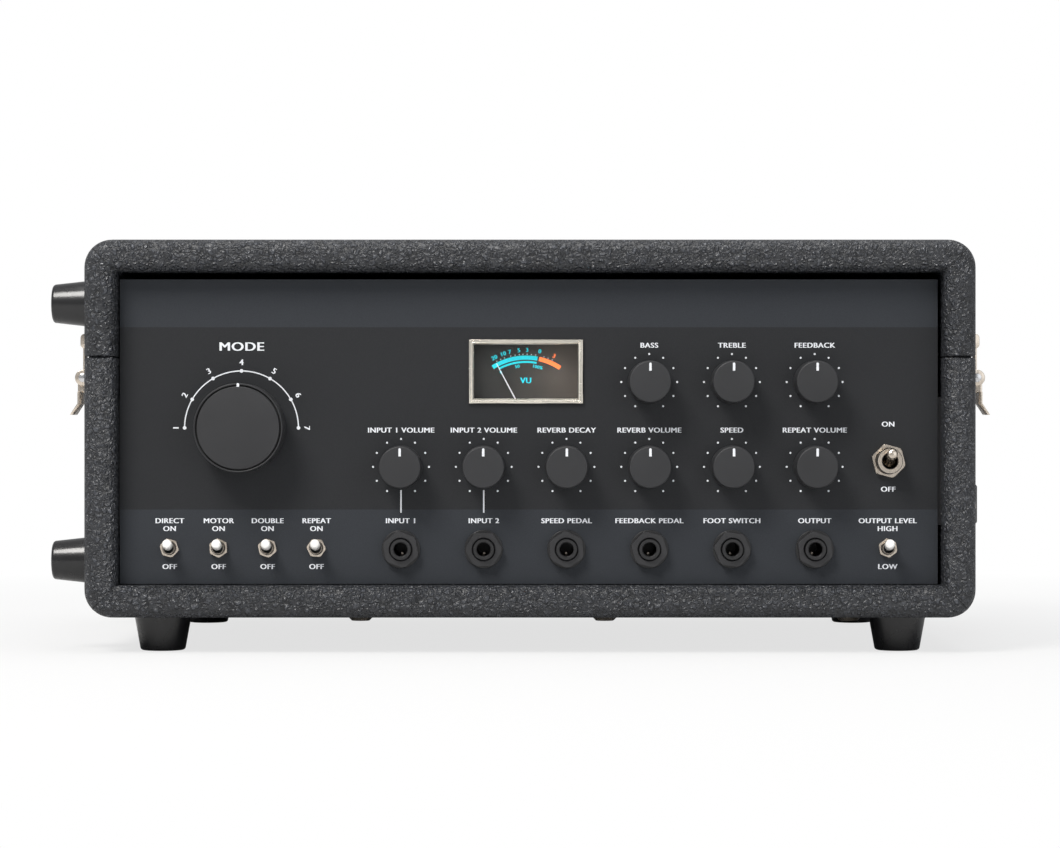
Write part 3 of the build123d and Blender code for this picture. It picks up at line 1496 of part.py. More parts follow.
# ---------------------------------------------------------------- endless tape
loop_pitch = 2 * mouth_x / loop_turns
loop_low = tank_front_y + tank_wall + loop_edge
loop_high = tank_rear_y - tank_wall - loop_edge
tape_path = [(-mouth_x, tape_y)]
for index in range(loop_turns + 1):
    run_x = -mouth_x + index * loop_pitch
    ends = [loop_low, loop_high] if index % 2 == 0 else [loop_high, loop_low]
    tape_path += [(run_x, y) for y in ends]
tape_path.remove((-mouth_x, loop_low))
tape_path.pop()
tape_path.append((mouth_x, tape_y))
tape_radii = [guide_offset] + [loop_bend * loop_pitch] * (len(tape_path) - 2) + [guide_offset]
with BuildPart() as tape_loop:
    with BuildSketch(Plane.XY.offset(tape_mid_z - tape_w / 2)):
        with BuildLine():
            FilletPolyline(*tape_path, radius=tape_radii, close=True)
        trace(line_width=tape_t)
    extrude(amount=tape_w)
tape_loop.part.label = "tape_loop"
export_step(tape_loop.part, "parts/tape_loop.step")
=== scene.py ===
"""Tape echo unit: the finishes and fine parts, laid out as an add-on around the solid frame."""

import json
import math

import bmesh
import bpy
from bpy.props import FloatProperty, FloatVectorProperty, IntProperty, PointerProperty
from mathutils import Matrix, Vector


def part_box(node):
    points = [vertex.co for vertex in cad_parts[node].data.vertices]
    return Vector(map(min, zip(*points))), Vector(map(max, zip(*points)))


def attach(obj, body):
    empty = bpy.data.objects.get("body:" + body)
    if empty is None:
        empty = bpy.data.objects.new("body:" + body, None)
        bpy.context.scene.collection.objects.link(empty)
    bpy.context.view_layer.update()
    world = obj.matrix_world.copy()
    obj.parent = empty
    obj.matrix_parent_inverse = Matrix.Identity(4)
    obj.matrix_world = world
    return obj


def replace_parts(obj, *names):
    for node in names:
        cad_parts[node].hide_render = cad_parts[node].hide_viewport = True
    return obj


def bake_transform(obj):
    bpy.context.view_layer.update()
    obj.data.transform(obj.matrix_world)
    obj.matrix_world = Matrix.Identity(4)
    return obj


bl_info = {
    "name": "Tape echo unit",
    "version": (1, 0, 0),
    "blender": (4, 5, 0),
    "location": "View3D > Sidebar > Tape Echo",
    "description": "Builds the covering, controls, fittings and transport of a tape echo unit",
    "category": "Object",
}

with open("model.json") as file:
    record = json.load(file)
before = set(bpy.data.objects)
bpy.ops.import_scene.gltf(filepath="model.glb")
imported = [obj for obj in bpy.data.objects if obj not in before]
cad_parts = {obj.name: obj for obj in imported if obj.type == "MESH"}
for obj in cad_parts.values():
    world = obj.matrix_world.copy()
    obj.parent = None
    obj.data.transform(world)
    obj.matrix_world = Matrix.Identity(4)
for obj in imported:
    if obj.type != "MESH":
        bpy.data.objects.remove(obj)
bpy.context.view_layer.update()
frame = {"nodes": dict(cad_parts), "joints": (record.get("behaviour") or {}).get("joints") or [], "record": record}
MM = 0.001
RECORD = frame["record"]
JOINTS = {joint["name"]: joint for joint in frame["joints"]}
MOUNTS = {mount["name"]: mount for mount in RECORD["mounts"]}

CASE_LOW, CASE_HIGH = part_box("case_body")[0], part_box("case_lid")[1]
PANEL_LOW, PANEL_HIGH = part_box("front_panel")
PANEL_FACE = PANEL_LOW.y
JACKS = [MOUNTS[f"jack_{i}"]["pos_m"] for i in range(1, 7)]
KNOBS = [JOINTS[f"knob_{i}_turn"]["pos_m"] for i in range(1, 10)]
TOGGLES = [JOINTS[f"toggle_{i}_throw"]["pos_m"] for i in range(1, 6)]
MODE = JOINTS["mode_turn"]["pos_m"]
POWER = JOINTS["power_throw"]["pos_m"]

FRONT = (0, -1, 0)
UP = (0, 0, 1)
INK_LIFT = 0.04 * MM


# ---------------------------------------------------------------- sizes and colours a user may change
class CaseSettings(bpy.types.PropertyGroup):
    covering: FloatVectorProperty(
        name="Covering", description="Colour of the grained covering", subtype="COLOR",
        size=3, min=0, max=1, default=(0.030, 0.032, 0.037),
    )
    grain: FloatProperty(
        name="Grain", description="Width of one wrinkle of the covering", unit="LENGTH",
        default=2.5 * MM, min=0.5 * MM,
    )
    grain_depth: FloatProperty(
        name="Grain depth", description="Depth of the wrinkles", unit="LENGTH", default=0.85 * MM, min=0,
    )
    front_round: FloatProperty(
        name="Front rounding", description="Radius of the bull-nosed front edges", unit="LENGTH",
        default=6.0 * MM, min=0.5 * MM,
    )
    corner: FloatProperty(
        name="Corner", description="Radius of the case's long corners", unit="LENGTH",
        default=13.0 * MM, min=MM,
    )
    board: FloatProperty(
        name="Board", description="Thickness of the boards", unit="LENGTH", default=15.0 * MM, min=MM,
    )
    rear_board: FloatProperty(
        name="Rear board", description="Thickness of the rear board", unit="LENGTH",
        default=12.0 * MM, min=MM,
    )


class PanelSettings(bpy.types.PropertyGroup):
    paint: FloatVectorProperty(
        name="Paint", description="Blue-grey of the upper and lower bands", subtype="COLOR",
        size=3, min=0, max=1, default=(0.026, 0.0295, 0.0355),
    )
    middle: FloatVectorProperty(
        name="Middle band", description="Charcoal of the middle band", subtype="COLOR",
        size=3, min=0, max=1, default=(0.0155, 0.0165, 0.0187),
    )
    ink: FloatVectorProperty(
        name="Ink", description="Colour of the printed marks", subtype="COLOR",
        size=3, min=0, max=1, default=(0.84, 0.86, 0.90),
    )
    header: FloatProperty(
        name="Header", description="Height of the upper band", unit="LENGTH", default=22.4 * MM, min=0,
    )
    lower: FloatProperty(
        name="Lower band", description="Height of the lower band", unit="LENGTH", default=34.9 * MM, min=0,
    )
    label_size: FloatProperty(
        name="Label size", description="Cap height of the small labels", unit="LENGTH",
        default=2.35 * MM, min=0.5 * MM,
    )
    label_stretch: FloatProperty(
        name="Label stretch", description="Width of the letters over that of the plain font",
        default=1.12, min=0.5, max=2.0,
    )


class ControlSettings(bpy.types.PropertyGroup):
    knob: FloatVectorProperty(
        name="Knob", description="Colour of the knobs", subtype="COLOR",
        size=3, min=0, max=1, default=(0.018, 0.0185, 0.0205),
    )
    dots: IntProperty(name="Dots", description="Dots round each knob", default=11, min=2)
    dot_circle: FloatProperty(
        name="Dot circle", description="Radius of the dots round each knob", unit="LENGTH",
        default=13.1 * MM, min=MM,
    )
    dot: FloatProperty(name="Dot", description="Diameter of a dot", unit="LENGTH", default=0.95 * MM, min=0)
    mode_arc: FloatProperty(
        name="Selector arc", description="Radius of the selector's printed arc", unit="LENGTH",
        default=26.7 * MM, min=MM,
    )


class FittingSettings(bpy.types.PropertyGroup):
    nickel: FloatVectorProperty(
        name="Nickel", description="Colour of the plated fittings", subtype="COLOR",
        size=3, min=0, max=1, default=(0.70, 0.62, 0.53),
    )
    foot: FloatVectorProperty(
        name="Foot", description="Colour of the feet", subtype="COLOR",
        size=3, min=0, max=1, default=(0.006, 0.006, 0.007),
    )

    foot_base: FloatProperty(
        name="Foot", description="Diameter of a foot where it meets the case", unit="LENGTH",
        default=27.0 * MM, min=MM,
    )
    foot_tip: FloatProperty(
        name="Foot tip", description="Diameter of a foot's end", unit="LENGTH", default=21.0 * MM, min=MM,
    )
    side_foot_base: FloatProperty(
        name="Side foot", description="Diameter of a side foot where it meets the case", unit="LENGTH",
        default=22.0 * MM, min=MM,
    )
    side_foot_tip: FloatProperty(
        name="Side foot tip", description="Diameter of a side foot's end", unit="LENGTH",
        default=18.0 * MM, min=MM,
    )
    side_foot_rise: FloatProperty(
        name="Side foot rise", description="Middle of the lower side feet above the underside",
        unit="LENGTH", default=25.9 * MM, min=0,
    )
    foot_recess: FloatProperty(
        name="Foot recess", description="Diameter of the recess for a foot's screw", unit="LENGTH",
        default=9.0 * MM, min=0.5 * MM,
    )
    foot_recess_depth: FloatProperty(
        name="Recess depth", description="Depth of the recess for a foot's screw", unit="LENGTH",
        default=7.0 * MM, min=0,
    )
    cup_washer: FloatProperty(
        name="Cup washer", description="Diameter of the washers under the case", unit="LENGTH",
        default=13.0 * MM, min=MM,
    )


class StageSettings(bpy.types.PropertyGroup):
    distance: FloatProperty(
        name="Camera distance", description="From the lens to the front of the case", unit="LENGTH",
        default=1.5, min=0.3,
    )
    eye: FloatProperty(
        name="Camera height", description="Lens above the underside of the case", unit="LENGTH",
        default=90.4 * MM,
    )
    view_width: FloatProperty(
        name="View width", description="What the picture spans at the front of the case", unit="LENGTH",
        default=0.4929, min=0.1,
    )


GROUPS = {
    "case": CaseSettings,
    "panel": PanelSettings,
    "controls": ControlSettings,
    "fittings": FittingSettings,
    "stage": StageSettings,
}


def settings(name):
    return getattr(bpy.context.scene, "echo_" + name)


# ---------------------------------------------------------------- node material helpers
class Shader:
    """A material's node tree with short calls for adding and joining nodes."""

    def __init__(self, name):
        self.material = bpy.data.materials.new(name)
        self.material.use_nodes = True
        self.tree = self.material.node_tree
        self.bsdf = self.tree.nodes["Principled BSDF"]
        self.coords = self.node("ShaderNodeTexCoord").outputs["Object"]

    def node(self, kind, **values):
        made = self.tree.nodes.new(kind)
        for key, value in values.items():
            setattr(made, key, value)
        return made

    def join(self, source, target):
        self.tree.links.new(source, target)

    def set(self, **values):
        """Constant values straight on the shader's own sockets."""
        for key, value in values.items():
            socket = self.bsdf.inputs[key.replace("_", " ")]
            if isinstance(value, (tuple, list)) and len(value) == 3:
                value = (*value, 1)
            socket.default_value = value
        return self

    def stretched(self, scale):
        made = self.node("ShaderNodeMapping")
        made.inputs["Scale"].default_value = scale
        self.join(self.coords, made.inputs["Vector"])
        return made.outputs["Vector"]

    def noise(self, scale, detail=4.0, rough=0.55, vector=None, kind="FBM", distortion=0.0):
        made = self.node("ShaderNodeTexNoise", noise_type=kind)
        made.inputs["Scale"].default_value = scale
        made.inputs["Detail"].default_value = detail
        made.inputs["Roughness"].default_value = rough
        made.inputs["Distortion"].default_value = distortion
        self.join(vector or self.coords, made.inputs["Vector"])
        return made.outputs["Fac"]

    def cells(self, scale, vector=None, feature="DISTANCE_TO_EDGE"):
        made = self.node("ShaderNodeTexVoronoi", feature=feature)
        made.inputs["Scale"].default_value = scale
        self.join(vector or self.coords, made.inputs["Vector"])
        return made.outputs["Distance"]

    def math(self, operation, a, b=0.0, clamp=False):
        made = self.node("ShaderNodeMath", operation=operation, use_clamp=clamp)
        for socket, value in zip(made.inputs, (a, b)):
            if isinstance(value, (int, float)):
                socket.default_value = value
            else:
                self.join(value, socket)
        return made.outputs[0]

    def span(self, value, low, high, to_low, to_high):
        made = self.node("ShaderNodeMapRange", clamp=True)
        for name, number in (("From Min", low), ("From Max", high), ("To Min", to_low), ("To Max", to_high)):
            made.inputs[name].default_value = number
        self.join(value, made.inputs["Value"])
        return made.outputs["Result"]

    def mix(self, factor, first, second):
        made = self.node("ShaderNodeMix", data_type="RGBA")
        for socket, value in ((made.inputs[0], factor), (made.inputs[6], first), (made.inputs[7], second)):
            if isinstance(value, (int, float)):
                socket.default_value = value
            elif isinstance(value, (tuple, list)) or hasattr(value, "__len__"):
                socket.default_value = (*tuple(value)[:3], 1)
            else:
                self.join(value, socket)
        return made.outputs[2]

    def bump(self, height, strength=1.0, distance=0.0001, over=None):
        made = self.node("ShaderNodeBump")
        made.inputs["Strength"].default_value = strength
        made.inputs["Distance"].default_value = distance
        self.join(height, made.inputs["Height"])
        if over is not None:
            self.join(over, made.inputs["Normal"])
        self.join(made.outputs["Normal"], self.bsdf.inputs["Normal"])
        return made.outputs["Normal"]

    def colour(self, source):
        self.join(source, self.bsdf.inputs["Base Color"])

    def rough(self, source):
        self.join(source, self.bsdf.inputs["Roughness"])


# ---------------------------------------------------------------- materials
def covering_material(name):
    """Levant-grain vinyl: small warped pebbles with glossy crests, duller in the creases between them, and
    coloured lighter on the crests and darker in the creases as painted highlight and painted shade.
    """
    case = settings("case")
    shader = Shader(name)
    scale = 1 / case.grain
    drift = shader.node("ShaderNodeTexNoise")
    drift.inputs["Scale"].default_value = scale * 0.8
    drift.inputs["Detail"].default_value = 2
    shader.join(shader.coords, drift.inputs["Vector"])
    warped = shader.node("ShaderNodeVectorMath", operation="MULTIPLY_ADD")
    warped.inputs[1].default_value = (1.6 * case.grain,) * 3
    shader.join(drift.outputs["Color"], warped.inputs[0])
    shader.join(shader.coords, warped.inputs[2])
    pebbles = shader.span(shader.cells(scale, warped.outputs[0]), 0.0, 0.42, 0.0, 1.0)
    pebbles.node.interpolation_type = "SMOOTHSTEP"
    lumps = shader.noise(scale * 0.6, 2.0, 0.5, distortion=0.4)
    height = shader.math("ADD", pebbles, shader.math("MULTIPLY", lumps, 1.4))
    # Painted light: the crests get a lighter colour as painted highlight and the creases a darker one as painted
    # shade.
    dark = tuple(0.35 * c for c in case.covering)
    light = tuple(1.9 * c for c in case.covering)
    shader.colour(shader.mix(shader.span(height, 0.5, 1.75, 0, 1), dark, light))
    shader.rough(shader.span(height, 0.5, 1.6, 0.42, 0.24))
    shader.bump(height, 1.0, case.grain_depth)
    return shader.material


def panel_material(name):
    """Sprayed front panel in three bands, with a fine speckled matt coat."""
    panel = settings("panel")
    shader = Shader(name)
    split = shader.node("ShaderNodeSeparateXYZ")
    shader.join(shader.coords, split.inputs[0])
    top_line = PANEL_HIGH.z - panel.header
    low_line = PANEL_LOW.z + panel.lower
    above = shader.math("GREATER_THAN", split.outputs["Z"], top_line)
    below = shader.math("LESS_THAN", split.outputs["Z"], low_line)
    band = shader.math("MAXIMUM", above, below)
    speckle = shader.noise(2600, 3, 0.7)
    wear = shader.noise(14, 3, 0.5)
    paint = shader.mix(shader.span(speckle, 0.3, 0.7, 0, 1), [0.84 * c for c in panel.paint],
                       [1.16 * c for c in panel.paint])
    middle = shader.mix(shader.span(speckle, 0.3, 0.7, 0, 1), [0.80 * c for c in panel.middle],
                        [1.20 * c for c in panel.middle])
    shader.colour(shader.mix(band, middle, paint))
    shader.rough(shader.span(wear, 0.3, 0.7, 0.56, 0.64))
    shader.bump(speckle, 0.5, 0.00008)
    shader.set(Specular_IOR_Level=0.3)
    return shader.material


def sprayed_material(name, colour, rough=0.5, grain=1800, depth=0.00006, coat=0.0):
    """Plastic or paint with a fine grain and an uneven sheen."""
    shader = Shader(name)
    fine = shader.noise(grain, 3, 0.6)
    broad = shader.noise(45, 4, 0.55)
    shader.colour(shader.mix(shader.span(broad, 0.3, 0.7, 0, 1), [0.86 * c for c in colour],
                             [1.14 * c for c in colour]))
    shader.rough(shader.span(broad, 0.3, 0.7, rough - 0.05, rough + 0.06))
    shader.bump(fine, 0.3, depth)
    shader.set(Coat_Weight=coat)
    return shader.material


def metal_material(name, colour, rough=0.28, brushed=(1, 1, 1), scratch=0.00003, stain=0.85):
    """Metal with fine scratches along the brushing, dulled unevenly by handling."""
    shader = Shader(name)
    lines = shader.noise(900, 4, 0.6, shader.stretched(brushed))
    broad = shader.noise(60, 4, 0.6)
    shader.colour(shader.mix(shader.span(broad, 0.35, 0.7, 0, 1), colour, [stain * c for c in colour]))
    shader.rough(shader.span(lines, 0.25, 0.75, rough - 0.07, rough + 0.10))
    shader.bump(lines, 0.22, scratch)
    shader.set(Metallic=1.0)
    return shader.material


def ink_material(name, colour, rough=0.45):
    """Screen-printed ink, faintly uneven."""
    shader = Shader(name)
    grain = shader.noise(2200, 2, 0.6)
    shader.colour(shader.mix(shader.span(grain, 0.3, 0.7, 0, 1), [0.90 * c for c in colour], colour))
    shader.rough(shader.span(grain, 0.3, 0.7, rough - 0.05, rough + 0.05))
    return shader.material


def glow_material(name, colour, strength=0.4):
    """Dial ink with painted light: coloured, and glowing a little through emission though it is no lamp."""
    shader = Shader(name)
    grain = shader.noise(900, 2, 0.6)
    shader.colour(shader.mix(shader.span(grain, 0.3, 0.7, 0, 1), [0.85 * c for c in colour], colour))
    # Painted light: the emission makes the ink glow.
    shader.set(Emission_Color=colour, Emission_Strength=strength, Roughness=0.5)
    return shader.material


def glass_material(name, tint=(1, 1, 1), rough=0.03, alpha=1.0):
    """Thin clear sheet: seen straight through, with a faint reflection."""
    shader = Shader(name)
    film = shader.noise(35, 3, 0.6)
    shader.rough(shader.span(film, 0.3, 0.7, rough, rough + 0.04))
    shader.set(Base_Color=tint, Transmission_Weight=1.0, IOR=1.05 if alpha < 1 else 1.12, Alpha=alpha)
    return shader.material


def tape_material(name):
    """Brown oxide tape: a stack of thin edges, glossier on its flats."""
    shader = Shader(name)
    edges = shader.noise(700, 3, 0.6, shader.stretched((1, 1, 0.2)))
    shader.colour(shader.mix(shader.span(edges, 0.35, 0.65, 0, 1), (0.055, 0.027, 0.017),
                             (0.11, 0.055, 0.033)))
    shader.rough(shader.span(edges, 0.3, 0.7, 0.25, 0.4))
    shader.bump(edges, 0.3, 0.00005)
    return shader.material


def strap_material(name):
    """Moulded handle covering: a leather-like grain of small shallow pebbles, coloured darker in the creases
    between them as painted shade.
    """
    shader = Shader(name)
    pebbles = shader.cells(700)
    # Painted shade: the colour darkens towards the creases between the pebbles.
    shader.colour(shader.mix(shader.span(pebbles, 0, 0.3, 0, 1), (0.010, 0.010, 0.011), (0.03, 0.03, 0.033)))
    shader.rough(shader.span(pebbles, 0, 0.3, 0.6, 0.42))
    shader.bump(shader.span(pebbles, 0, 0.25, 0, 1), 0.6, 0.0002)
    return shader.material


def board_material(name):
    """Printed circuit laminate: green resist over copper, faint weave."""
    shader = Shader(name)
    weave = shader.node("ShaderNodeTexWave", wave_type="BANDS", bands_direction="DIAGONAL")
    weave.inputs["Scale"].default_value = 700
    weave.inputs["Distortion"].default_value = 2.0
    shader.join(shader.coords, weave.inputs["Vector"])
    tracks = shader.node("ShaderNodeTexBrick")
    tracks.inputs["Scale"].default_value = 60
    tracks.inputs["Mortar Size"].default_value = 0.015
    tracks.inputs["Color1"].default_value = (0.010, 0.085, 0.038, 1)
    tracks.inputs["Color2"].default_value = (0.012, 0.10, 0.045, 1)
    tracks.inputs["Mortar"].default_value = (0.03, 0.19, 0.075, 1)
    shader.join(shader.coords, tracks.inputs["Vector"])
    shader.colour(tracks.outputs["Color"])
    shader.rough(shader.span(weave.outputs["Fac"], 0.2, 0.8, 0.3, 0.42))
    shader.bump(weave.outputs["Fac"], 0.15, 0.00003)
    return shader.material


BUILDERS = {
    "covering": covering_material,
    "panel_paint": panel_material,
    "rear_paint": lambda name: sprayed_material(name, (0.018, 0.018, 0.020), 0.46, 1100, 0.00012),
    "black_plastic": lambda name: sprayed_material(name, (0.013, 0.013, 0.014), 0.42),
    "black_nut": lambda name: sprayed_material(name, (0.024, 0.024, 0.026), 0.36, 900, 0.00003),
    "feet_plastic": lambda name: sprayed_material(name, settings("fittings").foot, 0.27, 900, 0.00003, 0.2),
    "nickel": lambda name: metal_material(name, settings("fittings").nickel, 0.24, (1, 1, 0.15)),
    "strap": strap_material,
    "knob_plastic": lambda name: sprayed_material(name, settings("controls").knob, 0.56, 2400, 0.00008),
    "lever_plastic": lambda name: sprayed_material(name, (0.86, 0.85, 0.82), 0.34, 900, 0.00003, 0.15),
    "bezel": lambda name: metal_material(name, (0.94, 0.89, 0.79), 0.20, (0.12, 1, 1), 0.000004, 0.93),
    "glass": lambda name: glass_material(name, (1, 1, 1), 0.02),
    "clear_cover": lambda name: glass_material(name, (0.93, 0.95, 0.97), 0.05),
    "needle_white": lambda name: sprayed_material(name, (0.86, 0.88, 0.90), 0.4),
    "deck_metal": lambda name: metal_material(name, (0.60, 0.61, 0.62), 0.34, (0.05, 1, 1), 0.00004),
    "steel": lambda name: metal_material(name, (0.66, 0.66, 0.67), 0.2, (1, 1, 0.1)),
    "roller_rubber": lambda name: sprayed_material(name, (0.022, 0.021, 0.020), 0.68, 1500, 0.0001),
    "heads": lambda name: metal_material(name, (0.72, 0.72, 0.71), 0.16, (1, 1, 0.1), 0.00002),
    "tank_plastic": lambda name: sprayed_material(name, (0.032, 0.033, 0.036), 0.38, 900),
    "tape": tape_material,
    "circuit": board_material,
    "ink": lambda name: ink_material(name, settings("panel").ink),
    "dial": lambda name: dial_material(name),
    "dial_blue": lambda name: glow_material(name, (0.01, 0.62, 0.70), 0.45),
    "dial_red": lambda name: glow_material(name, (1.0, 0.20, 0.05), 0.9),
    "dial_white": lambda name: glow_material(name, (0.62, 0.66, 0.66), 0.2),
    # Near-black for the dark corner cut lines, and for the painted shade of the seam strip and the selector's
    # groove ring.
    "gap": lambda name: sprayed_material(name, (0.004, 0.004, 0.004), 0.8),
    "inner_paint": lambda name: sprayed_material(name, (0.016, 0.016, 0.017), 0.62, 500, 0.0002),
    "copper": lambda name: metal_material(name, (0.80, 0.42, 0.24), 0.3),
    "component": lambda name: sprayed_material(name, (0.02, 0.03, 0.07), 0.35, 900, 0.00003, 0.2),
}
MATERIALS = {}


def material(slot):
    if slot not in MATERIALS:
        MATERIALS[slot] = BUILDERS[slot](slot + "_finish")
    return MATERIALS[slot]


def dial_material(name):
    """Meter dial: dark card, paler towards the lamp at its right."""
    shader = Shader(name)
    split = shader.node("ShaderNodeSeparateXYZ")
    shader.join(shader.coords, split.inputs[0])
    low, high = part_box("meter_bezel")
    across = shader.span(split.outputs["X"], low.x + 0.3 * (high.x - low.x), high.x, 0, 1)
    card = shader.noise(1300, 3, 0.6)
    # Painted light: the card's colour gets paler towards the meter lamp at its right, as a painted pool of lamp
    # light.
    painted_lamp_light = shader.mix(across, (0.022, 0.022, 0.020), (0.115, 0.095, 0.078))
    shader.colour(painted_lamp_light)
    shader.rough(shader.span(card, 0.3, 0.7, 0.55, 0.7))
    return shader.material


# ---------------------------------------------------------------- mesh helpers
def finished(name, mesh_or_bm, slot, body="case", smooth=None):
    """Object from mesh data, at the origin, with its slot's material, riding its body."""
    if isinstance(mesh_or_bm, bmesh.types.BMesh):
        mesh = bpy.data.meshes.new(name)
        mesh_or_bm.to_mesh(mesh)
        mesh_or_bm.free()
    else:
        mesh = mesh_or_bm
    if not mesh.polygons:
        raise RuntimeError(f"{name} came out empty")
    piece = bpy.data.objects.new(name, mesh)
    bpy.context.scene.collection.objects.link(piece)
    if smooth is None:
        mesh.shade_flat()
    else:
        mesh.shade_smooth()
        mesh.set_sharp_from_angle(angle=math.radians(smooth))
    mesh.materials.clear()
    mesh.materials.append(material(slot))
    if body:
        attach(piece, body)
    return piece


def turned(profile, steps=64):
    """Closed surface of revolution about Z from (radius, height) points."""
    bm = bmesh.new()
    rings = []
    for radius, height in profile:
        if radius < 1e-7:
            rings.append([bm.verts.new((0, 0, height))])
            continue
        ring = []
        for i in range(steps):
            turn = 2 * math.pi * i / steps
            ring.append(bm.verts.new((radius * math.cos(turn), radius * math.sin(turn), height)))
        rings.append(ring)
    for below, above in zip(rings, rings[1:]):
        for i in range(steps):
            j = (i + 1) % steps
            if len(below) == 1 and len(above) > 1:
                bm.faces.new((below[0], above[j], above[i]))
            elif len(above) == 1 and len(below) > 1:
                bm.faces.new((below[i], below[j], above[0]))
            elif len(below) > 1:
                bm.faces.new((below[i], below[j], above[j], above[i]))
    bmesh.ops.recalc_face_normals(bm, faces=bm.faces)
    return bm


def rounded(points, radius, corners, steps=5):
    """The profile with the named corners rounded by arcs."""
    result = []
    for index, point in enumerate(points):
        if index not in corners:
            result.append(point)
            continue
        here = Vector(point)
        before = (Vector(points[index - 1]) - here)
        after = (Vector(points[index + 1]) - here)
        half = before.angle(after) / 2
        reach = min(radius / math.tan(half), 0.49 * before.length, 0.49 * after.length)
        centre = here + (before.normalized() + after.normalized()).normalized() * (reach / math.cos(half))
        start = here + before.normalized() * reach - centre
        end = here + after.normalized() * reach - centre
        for i in range(steps + 1):
            share = i / steps
            arm = start.lerp(end, share).normalized() * start.length
            result.append(tuple(centre + arm))
    return result


def in_mm(*pairs):
    """Points of a profile or outline, given in millimetres."""
    return [tuple(value * MM for value in pair) for pair in pairs]


def placed(bm, origin, axis=(0, -1, 0), turn=0.0):
    """Moves a bmesh built about +Z so that its axis points along axis from origin."""
    spin = Matrix.Rotation(turn, 4, "Z")
    aim = Vector(axis).to_track_quat("Z", "Y").to_matrix().to_4x4()
    bmesh.ops.transform(bm, matrix=Matrix.Translation(Vector(origin)) @ aim @ spin, verts=bm.verts)
    return bm


def joined(parts):
    """One bmesh from several."""
    whole = bmesh.new()
    for part in parts:
        mesh = bpy.data.meshes.new("part")
        part.to_mesh(mesh)
        part.free()
        whole.from_mesh(mesh)
        bpy.data.meshes.remove(mesh)
    return whole


def hexagon(across, height, bore, chamfer=0.12):
    """Hexagon nut about +Z with its corners turned off and a chamfered bore."""
    sides, fine = 6, 8
    steps = sides * fine
    corner = across / 2 / math.cos(math.pi / sides)
    trim = (corner - across / 2) * 0.35

    def outer(turn):
        local = (turn + math.pi / sides) % (2 * math.pi / sides) - math.pi / sides
        return across / 2 / math.cos(local)

    rows = []
    for radius_of, level in (
        (lambda t: bore + height * chamfer, 0.0),
        (lambda t: min(outer(t), corner - trim), 0.0),
        (outer, trim * 0.5),
        (outer, height - trim * 0.5),
        (lambda t: min(outer(t), corner - trim), height),
        (lambda t: bore + height * chamfer, height),
        (lambda t: bore, height * (1 - chamfer)),
        (lambda t: bore, height * chamfer),
    ):
        rows.append((radius_of, level))
    bm = bmesh.new()
    rings = []
    for radius_of, level in rows:
        ring = []
        for i in range(steps):
            turn = 2 * math.pi * i / steps
            radius = radius_of(turn)
            ring.append(bm.verts.new((radius * math.cos(turn), radius * math.sin(turn), level)))
        rings.append(ring)
    rings.append(rings[0])
    for below, above in zip(rings, rings[1:]):
        for i in range(steps):
            j = (i + 1) % steps
            bm.faces.new((below[i], below[j], above[j], above[i]))
    bmesh.ops.recalc_face_normals(bm, faces=bm.faces)
    return bm


def outline_plate(outline, thickness):
    """Flat plate about +Z from a closed list of (x, y) points."""
    bm = bmesh.new()
    low = [bm.verts.new((x, y, 0)) for x, y in outline]
    face = bm.faces.new(low)
    raised = bmesh.ops.extrude_face_region(bm, geom=[face])
    verts = [item for item in raised["geom"] if isinstance(item, bmesh.types.BMVert)]
    bmesh.ops.translate(bm, verts=verts, vec=(0, 0, thickness))
    bmesh.ops.recalc_face_normals(bm, faces=bm.faces)
    return bm


def merged_copy(node):
    """The CAD node's mesh with its loose triangles joined up."""
    bm = bmesh.new()
    bm.from_mesh(frame["nodes"][node].data)
    bmesh.ops.remove_doubles(bm, verts=bm.verts, dist=1e-6)
    return bm


def evaluated(piece):
    """Applies the live modifiers by replacing the mesh with the evaluated one."""
    depsgraph = bpy.context.evaluated_depsgraph_get()
    mesh = bpy.data.meshes.new_from_object(piece.evaluated_get(depsgraph), depsgraph=depsgraph)
    piece.modifiers.clear()
    piece.data = mesh
    return piece


def refined(node, slot, body="case", width=0.25 * MM, segments=2, smooth=35):
    """A CAD node's form with rounded edges, in place of the CAD mesh."""
    bm = merged_copy(node)
    bmesh.ops.dissolve_limit(bm, angle_limit=math.radians(1.0), verts=bm.verts, edges=bm.edges)
    piece = finished(node + "_fine", bm, slot, body, smooth)
    bevel = piece.modifiers.new("edge", "BEVEL")
    bevel.width = width
    bevel.segments = segments
    bevel.limit_method = "ANGLE"
    bevel.angle_limit = math.radians(smooth)
    bevel.harden_normals = False
    evaluated(piece)
    piece.data.shade_smooth()
    piece.data.set_sharp_from_angle(angle=math.radians(smooth))
    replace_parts(piece, node)
    return piece


def dress(slot, *nodes):
    """Assigns a slot's detailed material to CAD nodes that keep their own form."""
    for node in nodes:
        for holder in frame["nodes"][node].material_slots:
            holder.material = material(slot)


# ---------------------------------------------------------------- geometry nodes
def node_group(name, sockets):
    """Geometry node tree with its named inputs, one geometry output, and its two end nodes."""
    tree = bpy.data.node_groups.new(name, "GeometryNodeTree")
    for label, kind in sockets:
        tree.interface.new_socket(label, in_out="INPUT", socket_type=kind)
    tree.interface.new_socket("Geometry", in_out="OUTPUT", socket_type="NodeSocketGeometry")
    return tree, tree.nodes.new("NodeGroupInput"), tree.nodes.new("NodeGroupOutput")


